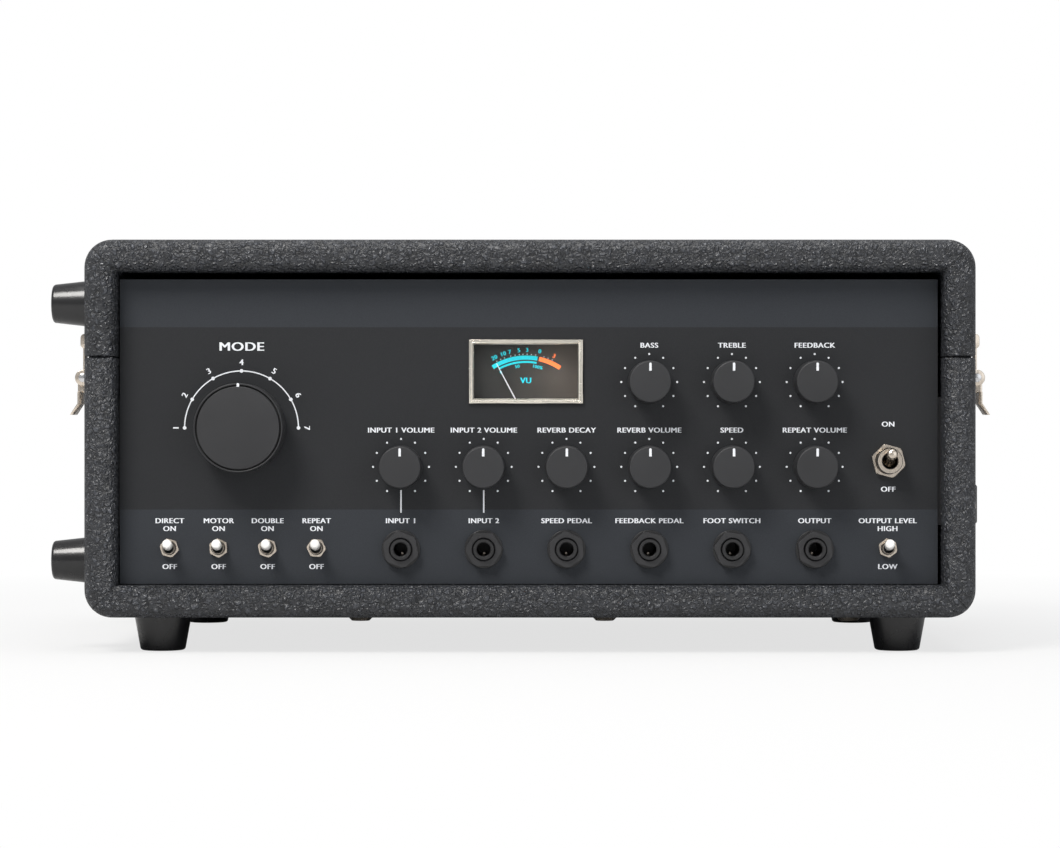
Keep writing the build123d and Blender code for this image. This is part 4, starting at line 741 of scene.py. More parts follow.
def scatter_tree():
    """Puts the template on every point, turned to the point's aim and turn attributes."""
    name = "Fasteners and marks"
    if name in bpy.data.node_groups:
        return bpy.data.node_groups[name]
    tree, given, result = node_group(
        name,
        (
            ("Points", "NodeSocketGeometry"),
            ("Template", "NodeSocketObject"),
            ("Material", "NodeSocketMaterial"),
        ),
    )
    new, join = tree.nodes.new, tree.links.new
    info = new("GeometryNodeObjectInfo")
    info.inputs["As Instance"].default_value = True
    aim = new("GeometryNodeInputNamedAttribute")
    aim.data_type = "FLOAT_VECTOR"
    aim.inputs["Name"].default_value = "aim"
    turn = new("GeometryNodeInputNamedAttribute")
    turn.data_type = "FLOAT_VECTOR"
    turn.inputs["Name"].default_value = "turn"
    align = new("FunctionNodeAlignRotationToVector")
    align.axis = "Z"
    spin = new("FunctionNodeEulerToRotation")
    both = new("FunctionNodeRotateRotation")
    both.rotation_space = "LOCAL"
    stamp = new("GeometryNodeInstanceOnPoints")
    solid = new("GeometryNodeRealizeInstances")
    painted = new("GeometryNodeSetMaterial")
    join(given.outputs["Template"], info.inputs["Object"])
    join(aim.outputs["Attribute"], align.inputs["Vector"])
    join(turn.outputs["Attribute"], spin.inputs["Euler"])
    join(align.outputs["Rotation"], both.inputs["Rotation"])
    join(spin.outputs["Rotation"], both.inputs["Rotate By"])
    join(given.outputs["Points"], stamp.inputs["Points"])
    join(info.outputs["Geometry"], stamp.inputs["Instance"])
    join(both.outputs["Rotation"], stamp.inputs["Rotation"])
    join(stamp.outputs["Instances"], solid.inputs["Geometry"])
    join(solid.outputs["Geometry"], painted.inputs["Geometry"])
    join(given.outputs["Material"], painted.inputs["Material"])
    join(painted.outputs["Geometry"], result.inputs["Geometry"])
    return tree


def grown(name, mesh, tree, values, slot, body, smooth):
    """Runs a geometry node tree on a mesh once and keeps the plain result."""
    seed = bpy.data.objects.new(name + "_seed", mesh)
    bpy.context.scene.collection.objects.link(seed)
    modifier = seed.modifiers.new("build", "NODES")
    modifier.node_group = tree
    for item in tree.interface.items_tree:
        if item.in_out == "INPUT" and item.name in values:
            modifier[item.identifier] = values[item.name]
    depsgraph = bpy.context.evaluated_depsgraph_get()
    made = bpy.data.meshes.new_from_object(seed.evaluated_get(depsgraph), depsgraph=depsgraph)
    bpy.data.objects.remove(seed)
    for attribute in ("aim", "turn"):
        if attribute in made.attributes:
            made.attributes.remove(made.attributes[attribute])
    return finished(name, made, slot, body, smooth)


def scattered(name, template_bm, spots, slot, body="case", smooth=35):
    """Copies of the template, built about +Z, on (point, aim, turn) spots."""
    template_mesh = bpy.data.meshes.new(name + "_template")
    template_bm.to_mesh(template_mesh)
    template_bm.free()
    template = bpy.data.objects.new(name + "_template", template_mesh)
    bpy.context.scene.collection.objects.link(template)
    points = bpy.data.meshes.new(name + "_points")
    points.from_pydata([tuple(point) for point, _, _ in spots], [], [])
    aims = points.attributes.new("aim", "FLOAT_VECTOR", "POINT")
    turns = points.attributes.new("turn", "FLOAT_VECTOR", "POINT")
    for index, (_, aim, turn) in enumerate(spots):
        aims.data[index].vector = aim
        turns.data[index].vector = (0, 0, turn)
    values = {"Template": template, "Material": material(slot)}
    piece = grown(name, points, scatter_tree(), values, slot, body, smooth)
    bpy.data.objects.remove(template)
    return piece


# ---------------------------------------------------------------- shared forms
def thread_profile(radius, start, end, pitch, depth):
    """(radius, height) points of a threaded length, as ridges."""
    points = []
    count = max(int((end - start) / pitch), 1)
    step = (end - start) / count
    for i in range(count):
        level = start + i * step
        points += [(radius - depth, level), (radius, level + 0.5 * step)]
    points.append((radius - depth, end))
    return points


def screw_head(diameter, height, recess=0.5):
    """Domed cross-recess screw head about +Z, its underside at zero."""
    radius = diameter / 2
    dome = [(0, 0), (radius, 0), (radius, 0.25 * height)]
    steps = 6
    for i in range(1, steps + 1):
        turn = i / steps * math.pi / 2
        dome.append((radius * math.cos(turn) if i < steps else 0, height * (0.25 + 0.75 * math.sin(turn))))
    head = turned(dome, 24)
    arm, thin = 0.52 * radius, 0.15 * radius
    cross = [(-arm, -thin), (-thin, -thin), (-thin, -arm), (thin, -arm), (thin, -thin), (arm, -thin),
             (arm, thin), (thin, thin), (thin, arm), (-thin, arm), (-thin, thin), (-arm, thin)]
    return cut(head, placed(outline_plate(cross, height), (0, 0, height * (1 - recess)), (0, 0, 1)))


def cut(target, tool):
    """Exact boolean difference of two bmeshes."""
    pieces = []
    for label, bm in (("target", target), ("tool", tool)):
        mesh = bpy.data.meshes.new(label)
        bm.to_mesh(mesh)
        bm.free()
        piece = bpy.data.objects.new(label, mesh)
        bpy.context.scene.collection.objects.link(piece)
        pieces.append(piece)
    modifier = pieces[0].modifiers.new("cut", "BOOLEAN")
    modifier.operation = "DIFFERENCE"
    modifier.solver = "EXACT"
    modifier.object = pieces[1]
    depsgraph = bpy.context.evaluated_depsgraph_get()
    result = bmesh.new()
    mesh = bpy.data.meshes.new_from_object(pieces[0].evaluated_get(depsgraph), depsgraph=depsgraph)
    result.from_mesh(mesh)
    bpy.data.meshes.remove(mesh)
    for piece in pieces:
        bpy.data.objects.remove(piece)
    return result


def lettering(entries):
    """Flat bold letters facing -Y: (text, x, z, cap height, turn, stretch) with x, z in metres."""
    whole = bmesh.new()
    for text, x, z, cap, turn, stretch in entries:
        curve = bpy.data.curves.new("letters", "FONT")
        curve.body = text
        curve.size = cap / 0.70
        curve.space_character = 1.08
        curve.align_x = "CENTER"
        curve.align_y = "CENTER"
        curve.resolution_u = 4
        item = bpy.data.objects.new("letters", curve)
        bpy.context.scene.collection.objects.link(item)
        depsgraph = bpy.context.evaluated_depsgraph_get()
        mesh = bpy.data.meshes.new_from_object(item.evaluated_get(depsgraph), depsgraph=depsgraph)
        bpy.data.objects.remove(item)
        aside = Vector((math.cos(turn), 0, -math.sin(turn))) * 0.055 * cap
        place = (
            Matrix.Translation(Vector((x, PANEL_FACE - INK_LIFT, z)) - aside)
            @ Matrix.Rotation(turn, 4, "Y")
            @ Matrix.Rotation(math.pi / 2, 4, "X")
            @ Matrix.Diagonal((stretch, 1, 1, 1))
        )
        mesh.transform(place)
        whole.from_mesh(mesh)
        for _ in range(2):
            mesh.transform(Matrix.Translation(aside + Vector((0, -0.004 * MM, 0))))
            whole.from_mesh(mesh)
        bpy.data.meshes.remove(mesh)
    return whole


def stroke(points, width, lift=INK_LIFT, face=PANEL_FACE):
    """Flat line of even width through (x, z) points, facing -Y."""
    bm = bmesh.new()
    sides = []
    for index, point in enumerate(points):
        here = Vector(point)
        before = Vector(points[max(index - 1, 0)])
        after = Vector(points[min(index + 1, len(points) - 1)])
        along = (after - before).normalized()
        across = Vector((-along.y, along.x)) * width / 2
        left, right = here + across, here - across
        sides.append([bm.verts.new((p.x, face - lift, p.y)) for p in (left, right)])
    for (a, b), (c, d) in zip(sides, sides[1:]):
        bm.faces.new((a, b, d, c))
    for polygon in bm.faces:
        polygon.normal_update()
        if polygon.normal.y > 0:
            polygon.normal_flip()
    return bm


def arc_points(centre, radius, start, end, steps=32):
    """(x, z) points on an arc, angles in degrees clockwise from straight up."""
    points = []
    for i in range(steps + 1):
        turn = math.radians(start + (end - start) * i / steps)
        points.append((centre[0] + radius * math.sin(turn), centre[1] + radius * math.cos(turn)))
    return points


def disc(radius, steps=20):
    """Flat disc about +Z."""
    bm = bmesh.new()
    ring = [(radius * math.cos(2 * math.pi * i / steps), radius * math.sin(2 * math.pi * i / steps), 0)
            for i in range(steps)]
    bm.faces.new([bm.verts.new(point) for point in ring])
    return bm


# ---------------------------------------------------------------- case
def covered(node, body):
    """Case half with covering outside and painted board inside."""
    case = settings("case")
    bm = merged_copy(node)
    bmesh.ops.dissolve_limit(bm, angle_limit=math.radians(0.5), verts=bm.verts, edges=bm.edges)
    inside_low = Vector((CASE_LOW.x + case.board, CASE_LOW.y + case.front_round, CASE_LOW.z + case.board))
    inside_high = Vector((CASE_HIGH.x - case.board, CASE_HIGH.y - case.rear_board, CASE_HIGH.z - case.board))
    slack = 0.05 * MM

    def within(point):
        return all(inside_low[i] - slack <= point[i] <= inside_high[i] + slack for i in range(3))

    for polygon in bm.faces:
        painted = (within(polygon.calc_center_median()) or within(polygon.calc_center_bounds())
                   or all(within(vert.co) for vert in polygon.verts))
        polygon.material_index = 1 if painted else 0
    piece = finished(node + "_covered", bm, "covering", body, 40)
    piece.data.materials.append(material("inner_paint"))
    bevel = piece.modifiers.new("edge", "BEVEL")
    bevel.width = 0.35 * MM
    bevel.segments = 2
    bevel.limit_method = "ANGLE"
    bevel.angle_limit = math.radians(50)
    evaluated(piece)
    piece.data.shade_smooth()
    piece.data.set_sharp_from_angle(angle=math.radians(40))
    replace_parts(piece, node)
    return piece


def corner_cut(side, level):
    """Cut line of the covering across the bull-nosed front at one corner of the case."""
    case = settings("case")
    width, lift = 0.30 * MM, 0.05 * MM
    across = side * (CASE_HIGH.x - case.corner)
    up = CASE_LOW.z + case.corner if level < 0 else CASE_HIGH.z - case.corner
    out = Vector((side, level)).normalized()
    flat_end = case.corner - case.front_round
    reaches = [-0.9 * (case.board - case.corner) * math.sqrt(2), flat_end]
    steps = 10
    reaches += [flat_end + case.front_round * math.sin(i / steps * math.pi / 2) for i in range(1, steps)]
    bm = bmesh.new()
    rows = []
    for reach in reaches:
        drop = case.front_round - math.sqrt(case.front_round ** 2 - max(reach - flat_end, 0) ** 2)
        normal = Vector((out.x * max(reach - flat_end, 0), 0, out.y * max(reach - flat_end, 0)))
        normal.y = drop - case.front_round
        middle = Vector((across + out.x * reach, CASE_LOW.y + drop, up + out.y * reach))
        middle += normal.normalized() * lift
        aside = Vector((-out.y, 0, out.x)) * width / 2
        rows.append([bm.verts.new(middle - aside), bm.verts.new(middle + aside)])
    for (a, b), (c, d) in zip(rows, rows[1:]):
        bm.faces.new((a, b, d, c))
    for polygon in bm.faces:
        polygon.normal_update()
        if polygon.normal.y > 0:
            polygon.normal_flip()
    return bm


class ECHO_OT_case(bpy.types.Operator):
    """Case body and lid with the grained covering, board insides and cut lines at the corners"""

    bl_idname = "tape_echo.case"
    bl_label = "Case and covering"

    def execute(self, context):
        covered("case_body", "case")
        covered("case_lid", "lid")
        finished("corner_cuts_low", joined([corner_cut(side, -1) for side in (-1, 1)]), "gap")
        finished("corner_cuts_high", joined([corner_cut(side, 1) for side in (-1, 1)]), "gap", "lid")
        self.seam_felt()
        return {"FINISHED"}

    def seam_felt(self):
        """Thin near-black strip on the body's rim, which the closed lid comes down on; its black is painted shade
        for the seam's shadow.
        """
        case = settings("case")
        bottom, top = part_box("case_body")[1].z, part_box("case_lid")[0].z
        inset, width = 2.0 * MM, case.board - 5.0 * MM
        low = CASE_LOW.y + case.front_round
        high = CASE_HIGH.y - case.front_round
        strips = []
        for side in (-1, 1):
            edge = side * (CASE_HIGH.x - inset - width / 2)
            left, right = edge - width / 2, edge + width / 2
            outline = [(left, low), (right, low), (right, high), (left, high)]
            strip = outline_plate(outline, 0.8 * (top - bottom))
            bmesh.ops.translate(strip, verts=strip.verts, vec=(0, 0, bottom))
            strips.append(strip)
        # Painted shade: the near-black strip stands in for the shadow in the seam between body and lid.
        finished("seam_felt", joined(strips), "gap")


# ---------------------------------------------------------------- feet and screws underneath
def foot_form(base, tip, height, recess, recess_depth):
    """Tapered foot about +Z with its base at zero and a screw recess in its tip."""
    profile = [(0, 0), (base / 2, 0), (tip / 2, height), (recess / 2, height),
               (recess / 2, height - recess_depth), (0, height - recess_depth)]
    return turned(rounded(profile, 1.5 * MM, (2,)), 56)


def foot_screw(height, recess_depth):
    """Fixing screw at the bottom of a foot's recess."""
    head = screw_head(7.4 * MM, 2.2 * MM)
    bmesh.ops.translate(head, verts=head.verts, vec=(0, 0, height - recess_depth))
    return head


class ECHO_OT_feet(bpy.types.Operator):
    """Tapered feet underneath and on the left side, with their screws, and the chassis screws"""

    bl_idname = "tape_echo.feet"
    bl_label = "Feet and underside"

    def execute(self, context):
        fittings = settings("fittings")
        low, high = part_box("case_feet")
        side_l, foot_h = CASE_LOW.x - low.x, CASE_LOW.z
        foot_x, foot_y = (edge - fittings.foot_base / 2 for edge in (high.x, high.y))
        upper_low, upper_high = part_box("lid_side_feet")
        levels = (CASE_LOW.z + fittings.side_foot_rise, (upper_low.z + upper_high.z) / 2)
        floor_spots = [((x, y, foot_h), (0, 0, -1), 9 * x)
                       for x in (-foot_x, foot_x) for y in (-foot_y, foot_y)]
        side_spots, lid_spots = (
            [((CASE_LOW.x, y, level), (-1, 0, 0), 9 * y) for y in (-foot_y, foot_y)] for level in levels
        )
        depth = fittings.foot_recess_depth
        side_base, side_tip = fittings.side_foot_base, fittings.side_foot_tip
        sizes = (
            ("floor_feet", floor_spots, "case", foot_h, fittings.foot_base, fittings.foot_tip, "case_feet"),
            ("side_feet", side_spots, "case", side_l, side_base, side_tip, "case_feet"),
            ("lid_feet", lid_spots, "lid", side_l, side_base, side_tip, "lid_side_feet"),
        )
        for name, spots, body, height, base, tip, node in sizes:
            form = foot_form(base, tip, height, fittings.foot_recess, depth)
            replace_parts(scattered(name, form, spots, "feet_plastic", body), node)
            scattered(name + "_screws", foot_screw(height, depth), spots, "nickel", body)
        under_low, under_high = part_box("under_screws")
        cup = fittings.cup_washer / 2
        middle_x = (under_low.x + under_high.x) / 2
        pitch = (under_high.x - under_low.x) / 2 - cup
        rows = (under_low.y + cup, under_high.y - cup)
        spots = [((middle_x + i * pitch, y, under_high.z), (0, 0, -1), 0.5 + i)
                 for i in (-1, 0, 1) for y in rows]
        drop = under_high.z - under_low.z
        profile = [(0, 0), (cup, 0), (cup, 0.2 * drop), (0.62 * cup, drop), (0.5 * cup, 0.8 * drop),
                   (0.4 * cup, 0.5 * drop), (0, 0.5 * drop)]
        cup_form = turned(rounded(profile, 0.8 * MM, (2, 3)), 40)
        washers = scattered("cup_washers", cup_form, spots, "nickel")
        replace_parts(washers, "under_screws")
        head = screw_head(0.95 * cup, 0.5 * drop)
        bmesh.ops.translate(head, verts=head.verts, vec=(0, 0, 0.48 * drop))
        scattered("chassis_screws", head, spots, "nickel")
        return {"FINISHED"}


# ---------------------------------------------------------------- printing on the panel
def knob_labels(panel):
    """Names over the nine knobs, in the order of their joints."""
    names = ("INPUT 1 VOLUME", "INPUT 2 VOLUME", "REVERB DECAY", "REVERB VOLUME", "SPEED", "REPEAT VOLUME",
             "BASS", "TREBLE", "FEEDBACK")
    rise = 17.1 * MM
    return [(name, place[0], place[2] + rise, panel.label_size, 0, panel.label_stretch)
            for place, name in zip(KNOBS, names)]


def jack_labels(panel):
    """Names over the six jacks."""
    names = ("INPUT 1", "INPUT 2", "SPEED PEDAL", "FEEDBACK PEDAL", "FOOT SWITCH", "OUTPUT")
    rise = 13.2 * MM
    return [(name, place[0], place[2] + rise, panel.label_size, 0, panel.label_stretch)
            for place, name in zip(JACKS, names)]


def switch_labels(panel):
    """Names and end positions of the toggles: (word, place, height above the pivot)."""
    words = [("ON", POWER, 17.1), ("OFF", POWER, -13.4)]
    for place, name in zip(TOGGLES, ("DIRECT", "MOTOR", "DOUBLE", "REPEAT", "OUTPUT LEVEL")):
        high, low = ("HIGH", "LOW") if place is TOGGLES[-1] else ("ON", "OFF")
        words += [(name, place, 12.6), (high, place, 8.9), (low, place, -8.9)]
    return [(word, place[0], place[2] + rise * MM, panel.label_size, 0, panel.label_stretch)
            for word, place, rise in words]


def selector_numbers(panel, controls):
    """Numbers round the mode selector, each turned with the arc."""
    entries = [("MODE", MODE[0], MODE[2] + 37.9 * MM, 1.7 * panel.label_size, 0, 1.12 * panel.label_stretch)]
    reach = controls.mode_arc + 3.9 * MM
    for number in range(1, 8):
        turn = math.radians(-90 + 30 * (number - 1))
        x = MODE[0] + reach * math.sin(turn)
        z = MODE[2] + reach * math.cos(turn)
        entries.append((str(number), x, z, 1.15 * panel.label_size, turn, 1.0))
    return entries


class ECHO_OT_printing(bpy.types.Operator):
    """Letters, dots, arcs and lines printed on the front panel"""

    bl_idname = "tape_echo.printing"
    bl_label = "Panel printing"

    def execute(self, context):
        panel, controls = settings("panel"), settings("controls")
        dress("panel_paint", "front_panel")
        entries = knob_labels(panel) + jack_labels(panel) + switch_labels(panel)
        finished("panel_letters", lettering(entries + selector_numbers(panel, controls)), "ink")
        face = PANEL_FACE - INK_LIFT
        spots = []
        for place in KNOBS:
            ring = arc_points((place[0], place[2]), controls.dot_circle, -150, 150, controls.dots - 1)
            spots += [((x, face, z), FRONT, 0.0) for x, z in ring]
        ring = arc_points((MODE[0], MODE[2]), controls.mode_arc, -90, 90, 6)
        scattered("knob_dots", disc(controls.dot / 2), spots, "ink", smooth=None)
        spots = [((x, face - INK_LIFT, z), FRONT, 0.0) for x, z in ring]
        scattered("selector_dots", disc(0.9 * controls.dot), spots, "ink", smooth=None)
        line = 0.7 * MM
        strokes = [stroke(arc_points((MODE[0], MODE[2]), controls.mode_arc, -90, 90, 72), 0.8 * line)]
        band = PANEL_LOW.z + panel.lower
        for place in KNOBS[:2]:
            strokes.append(stroke([(place[0], band - 1.5 * MM), (place[0], place[2] - 10.9 * MM)], line))
        finished("panel_lines", joined(strokes), "ink")
        return {"FINISHED"}


# ---------------------------------------------------------------- knobs, jacks and switches
def knob_form(radius, crown, height, off, top_round):
    """Turned knob about +Z, panel face at zero, hollow underneath."""
    hollow = 0.8 * radius
    roof = 0.38 * height
    profile = [(0, roof), (hollow, roof), (hollow, off), (radius, off), (crown, height), (0, height)]
    return turned(rounded(profile, top_round, (3, 4), 6), 96)


def pointer(length, width, rim):
    """Inlaid pointer bar facing +Z on a knob's crown, its outer end near the rim, pointing to +Y."""
    half = width / 2
    steps = 6
    outer = rim - 0.35 * MM
    tip = [(half * math.cos(math.pi * i / steps), outer - half + half * math.sin(math.pi * i / steps))
           for i in range(steps + 1)]
    return outline_plate(tip + [(-half, outer - length), (half, outer - length)], 0.08 * MM)


class ECHO_OT_knobs(bpy.types.Operator):
    """Nine plain knobs with pointers and the large mode selector knob"""

    bl_idname = "tape_echo.knobs"
    bl_label = "Knobs"

    def execute(self, context):
        for number, place in enumerate(KNOBS, start=1):
            low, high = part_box(f"knob_{number}")
            radius = (high.x - low.x) / 2
            height = PANEL_FACE - low.y
            origin = (place[0], PANEL_FACE, place[2])
            body = f"control_{number}"
            form = knob_form(radius, radius - 0.4 * MM, height, 0.7 * MM, 0.7 * MM)
            knob = finished(f"knob_{number}_fine", placed(form, origin), "knob_plastic", body, 35)
            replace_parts(knob, f"knob_{number}")
            bar = pointer(3.8 * MM, 1.15 * MM, radius - 0.9 * MM)
            crown = (place[0], PANEL_FACE - height + 0.03 * MM, place[2])
            finished(f"pointer_{number}", placed(bar, crown), "ink", body)
        self.selector()
        return {"FINISHED"}

    def selector(self):
        low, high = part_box("mode_knob")
        radius, height = (high.x - low.x) / 2, PANEL_FACE - low.y
        face, groove = 0.922 * radius, 1.2 * MM
        hollow, roof, off = 0.77 * radius, 0.3 * height, 0.7 * MM
        profile = [(0, roof), (hollow, roof), (hollow, off), (radius, off),
                   (radius, height - groove), (radius - 0.25 * MM, height), (face + 0.8 * MM, height),
                   (face + 0.7 * MM, height - groove), (face + 0.05 * MM, height - groove), (face, height),
                   (0, height)]
        form = turned(rounded(profile, 0.3 * MM, (3, 5, 6, 9), 4), 160)
        origin = (MODE[0], PANEL_FACE, MODE[2])
        knob = finished("mode_knob_fine", placed(form, origin), "knob_plastic", "mode_selector", 35)
        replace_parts(knob, "mode_knob")
        # Painted shade: a near-black ring laid on the groove's floor stands in for the shadow in the groove.
        inner, outer = face + 0.1 * MM, face + 0.66 * MM
        upper, lower = height - groove + 0.02 * MM, height - groove - 0.1 * MM
        ring = turned([(inner, upper), (outer, upper), (outer, lower), (inner, lower), (inner, upper)], 96)
        finished("mode_groove", placed(ring, origin), "gap", "mode_selector")
        mark = pointer(1.7 * MM, 1.2 * MM, radius + 0.3 * MM)
        crown = (MODE[0], PANEL_FACE - height + 0.03 * MM, MODE[2])
        finished("mode_mark", placed(mark, crown), "ink", "mode_selector")


class ECHO_OT_jacks(bpy.types.Operator):
    """Six phone jacks with threaded bushings, washers and hexagon nuts"""

    bl_idname = "tape_echo.jacks"
    bl_label = "Jacks"

    def execute(self, context):
        dress("black_plastic", "jack_sockets")
        out = PANEL_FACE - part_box("jack_sockets")[0].y
        bush, washer, washer_t, nut, nut_t = 4.8 * MM, 9.0 * MM, 0.8 * MM, 15.3 * MM, 3.4 * MM
        turns = (10, 30, 4, 16, 22, 8)
        spots = [((p[0], PANEL_FACE, p[2]), FRONT, math.radians(turn)) for p, turn in zip(JACKS, turns)]
        ring = [(bush + 0.06 * MM, 0), (washer, 0), (washer, washer_t), (bush + 0.06 * MM, washer_t),
                (bush + 0.06 * MM, 0)]
        washer_form = turned(rounded(ring, 0.25 * MM, (2,)), 64)
        washers = scattered("jack_washers", washer_form, spots, "black_plastic")
        body = hexagon(nut, nut_t, bush + 0.28 * MM, 0.16)
        bmesh.ops.translate(body, verts=body.verts, vec=(0, 0, washer_t))
        nuts = scattered("jack_nuts_fine", body, spots, "black_nut")
        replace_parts(washers, "jack_nuts")
        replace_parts(nuts, "jack_nuts")
        crest = bush + 0.02 * MM
        start = washer_t + nut_t
        mouth = out - 0.45 * MM
        pitch, depth = 0.6 * MM, 0.16 * MM
        thread = thread_profile(crest, start, mouth, pitch, depth)
        inner = 3.9 * MM
        profile = [(inner, start)] + thread + [(inner, mouth), (inner, start)]
        scattered("jack_threads", turned(profile, 56), spots, "black_plastic")
        leaf = turned(in_mm((0, 0), (0.9, 0), (0.9, 0.4), (0.5, 0.9), (0, 0.9)), 24)
        deep = [((p[0], PANEL_FACE + 16 * MM, p[2] - 2.5 * MM), FRONT, 0.0) for p in JACKS]
        scattered("jack_contacts", leaf, deep, "nickel")
        return {"FINISHED"}


class ECHO_OT_switches(bpy.types.Operator):
    """Small toggles with white sleeves, the power toggle with its bat lever, and all their nuts"""

    bl_idname = "tape_echo.switches"
    bl_label = "Toggles"

    def execute(self, context):
        dress("black_plastic", "toggle_bodies")
        turns = (16, 4, 12, 26, 8)
        small = [((p[0], PANEL_FACE, p[2]), FRONT, math.radians(turn)) for p, turn in zip(TOGGLES, turns)]
        power = [((POWER[0], PANEL_FACE, POWER[2]), FRONT, math.radians(15))]
        small_nut, small_t, small_bore = 8.0 * MM, 2.2 * MM, 3.03 * MM
        power_nut, power_t, power_bore = 14.3 * MM, 2.6 * MM, 5.99 * MM
        nuts = scattered("toggle_nuts_small", hexagon(small_nut, small_t, small_bore), small, "nickel")
        large = scattered("toggle_nut_power", hexagon(power_nut, power_t, power_bore), power, "nickel")
        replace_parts(nuts, "toggle_nuts")
        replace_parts(large, "toggle_nuts")
        for name, spots, radius, bore, start, end in (
            ("toggle_threads", small, 3.02 * MM, 2.3 * MM, small_t, 5.2 * MM),
            ("power_thread", power, 5.97 * MM, 3.7 * MM, power_t, 8.5 * MM),
        ):
            thread = thread_profile(radius, start, end - 0.1 * MM, 0.55 * MM, 0.14 * MM)
            profile = [(bore, start)] + thread + [(radius - 0.3 * MM, end + 0.06 * MM),
                                                  (bore + 0.3 * MM, end + 0.06 * MM), (bore, end - 0.2 * MM),
                                                  (bore, start)]
            scattered(name, turned(profile, 48), spots, "nickel")
        for number, place in enumerate(TOGGLES, start=1):
            self.lever(number, place)
        self.bat()
        return {"FINISHED"}

    def lever(self, number, place):
        rest = Vector((0, -math.cos(math.radians(12.5)), math.sin(math.radians(12.5))))
        body = f"switch_{number}"
        rod = turned(in_mm((0, -0.2), (1.2, 0), (1.2, 5.4), (0, 5.4)), 24)
        piece = finished(f"toggle_rod_{number}", placed(rod, place, rest), "nickel", body, 35)
        sleeve = in_mm((1.2, 4.3), (1.75, 4.3), (2.25, 6.2), (2.25, 11.0), (0, 11.0))
        form = turned(rounded(sleeve, 2.0 * MM, (3,), 10), 40)
        cap = finished(f"toggle_sleeve_{number}", placed(form, place, rest), "lever_plastic", body, 40)
        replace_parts(piece, f"toggle_{number}")
        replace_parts(cap, f"toggle_{number}")

    def bat(self):
        rest = Vector((0, -math.cos(math.radians(13)), math.sin(math.radians(13))))
        profile = in_mm((0, -3.3), (2.3, -2.35), (3.3, 0), (2.9, 1.6), (1.6, 2.9), (1.75, 8.0),
                        (2.45, 14.2), (2.35, 15.6), (1.6, 16.35), (0, 16.5))
        form = placed(turned(profile, 48), POWER, rest)
        lever = finished("power_lever", form, "nickel", "power_switch", 50)
        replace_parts(lever, "power_toggle")


# ---------------------------------------------------------------- level meter
def dial_marks(pivot, entries, lift_face):
    """Letters on arcs about the pivot: (text, angle, radius, cap height)."""
    placed_entries = []
    for text, angle, radius, cap in entries:
        turn = math.radians(angle)
        x = pivot[0] + radius * math.sin(turn)
        z = pivot[2] + radius * math.cos(turn)
        placed_entries.append((text, x, z, cap, turn, 1.0))
    bm = lettering(placed_entries)
    bmesh.ops.translate(bm, verts=bm.verts, vec=(0, lift_face - (PANEL_FACE - INK_LIFT), 0))
    return bm


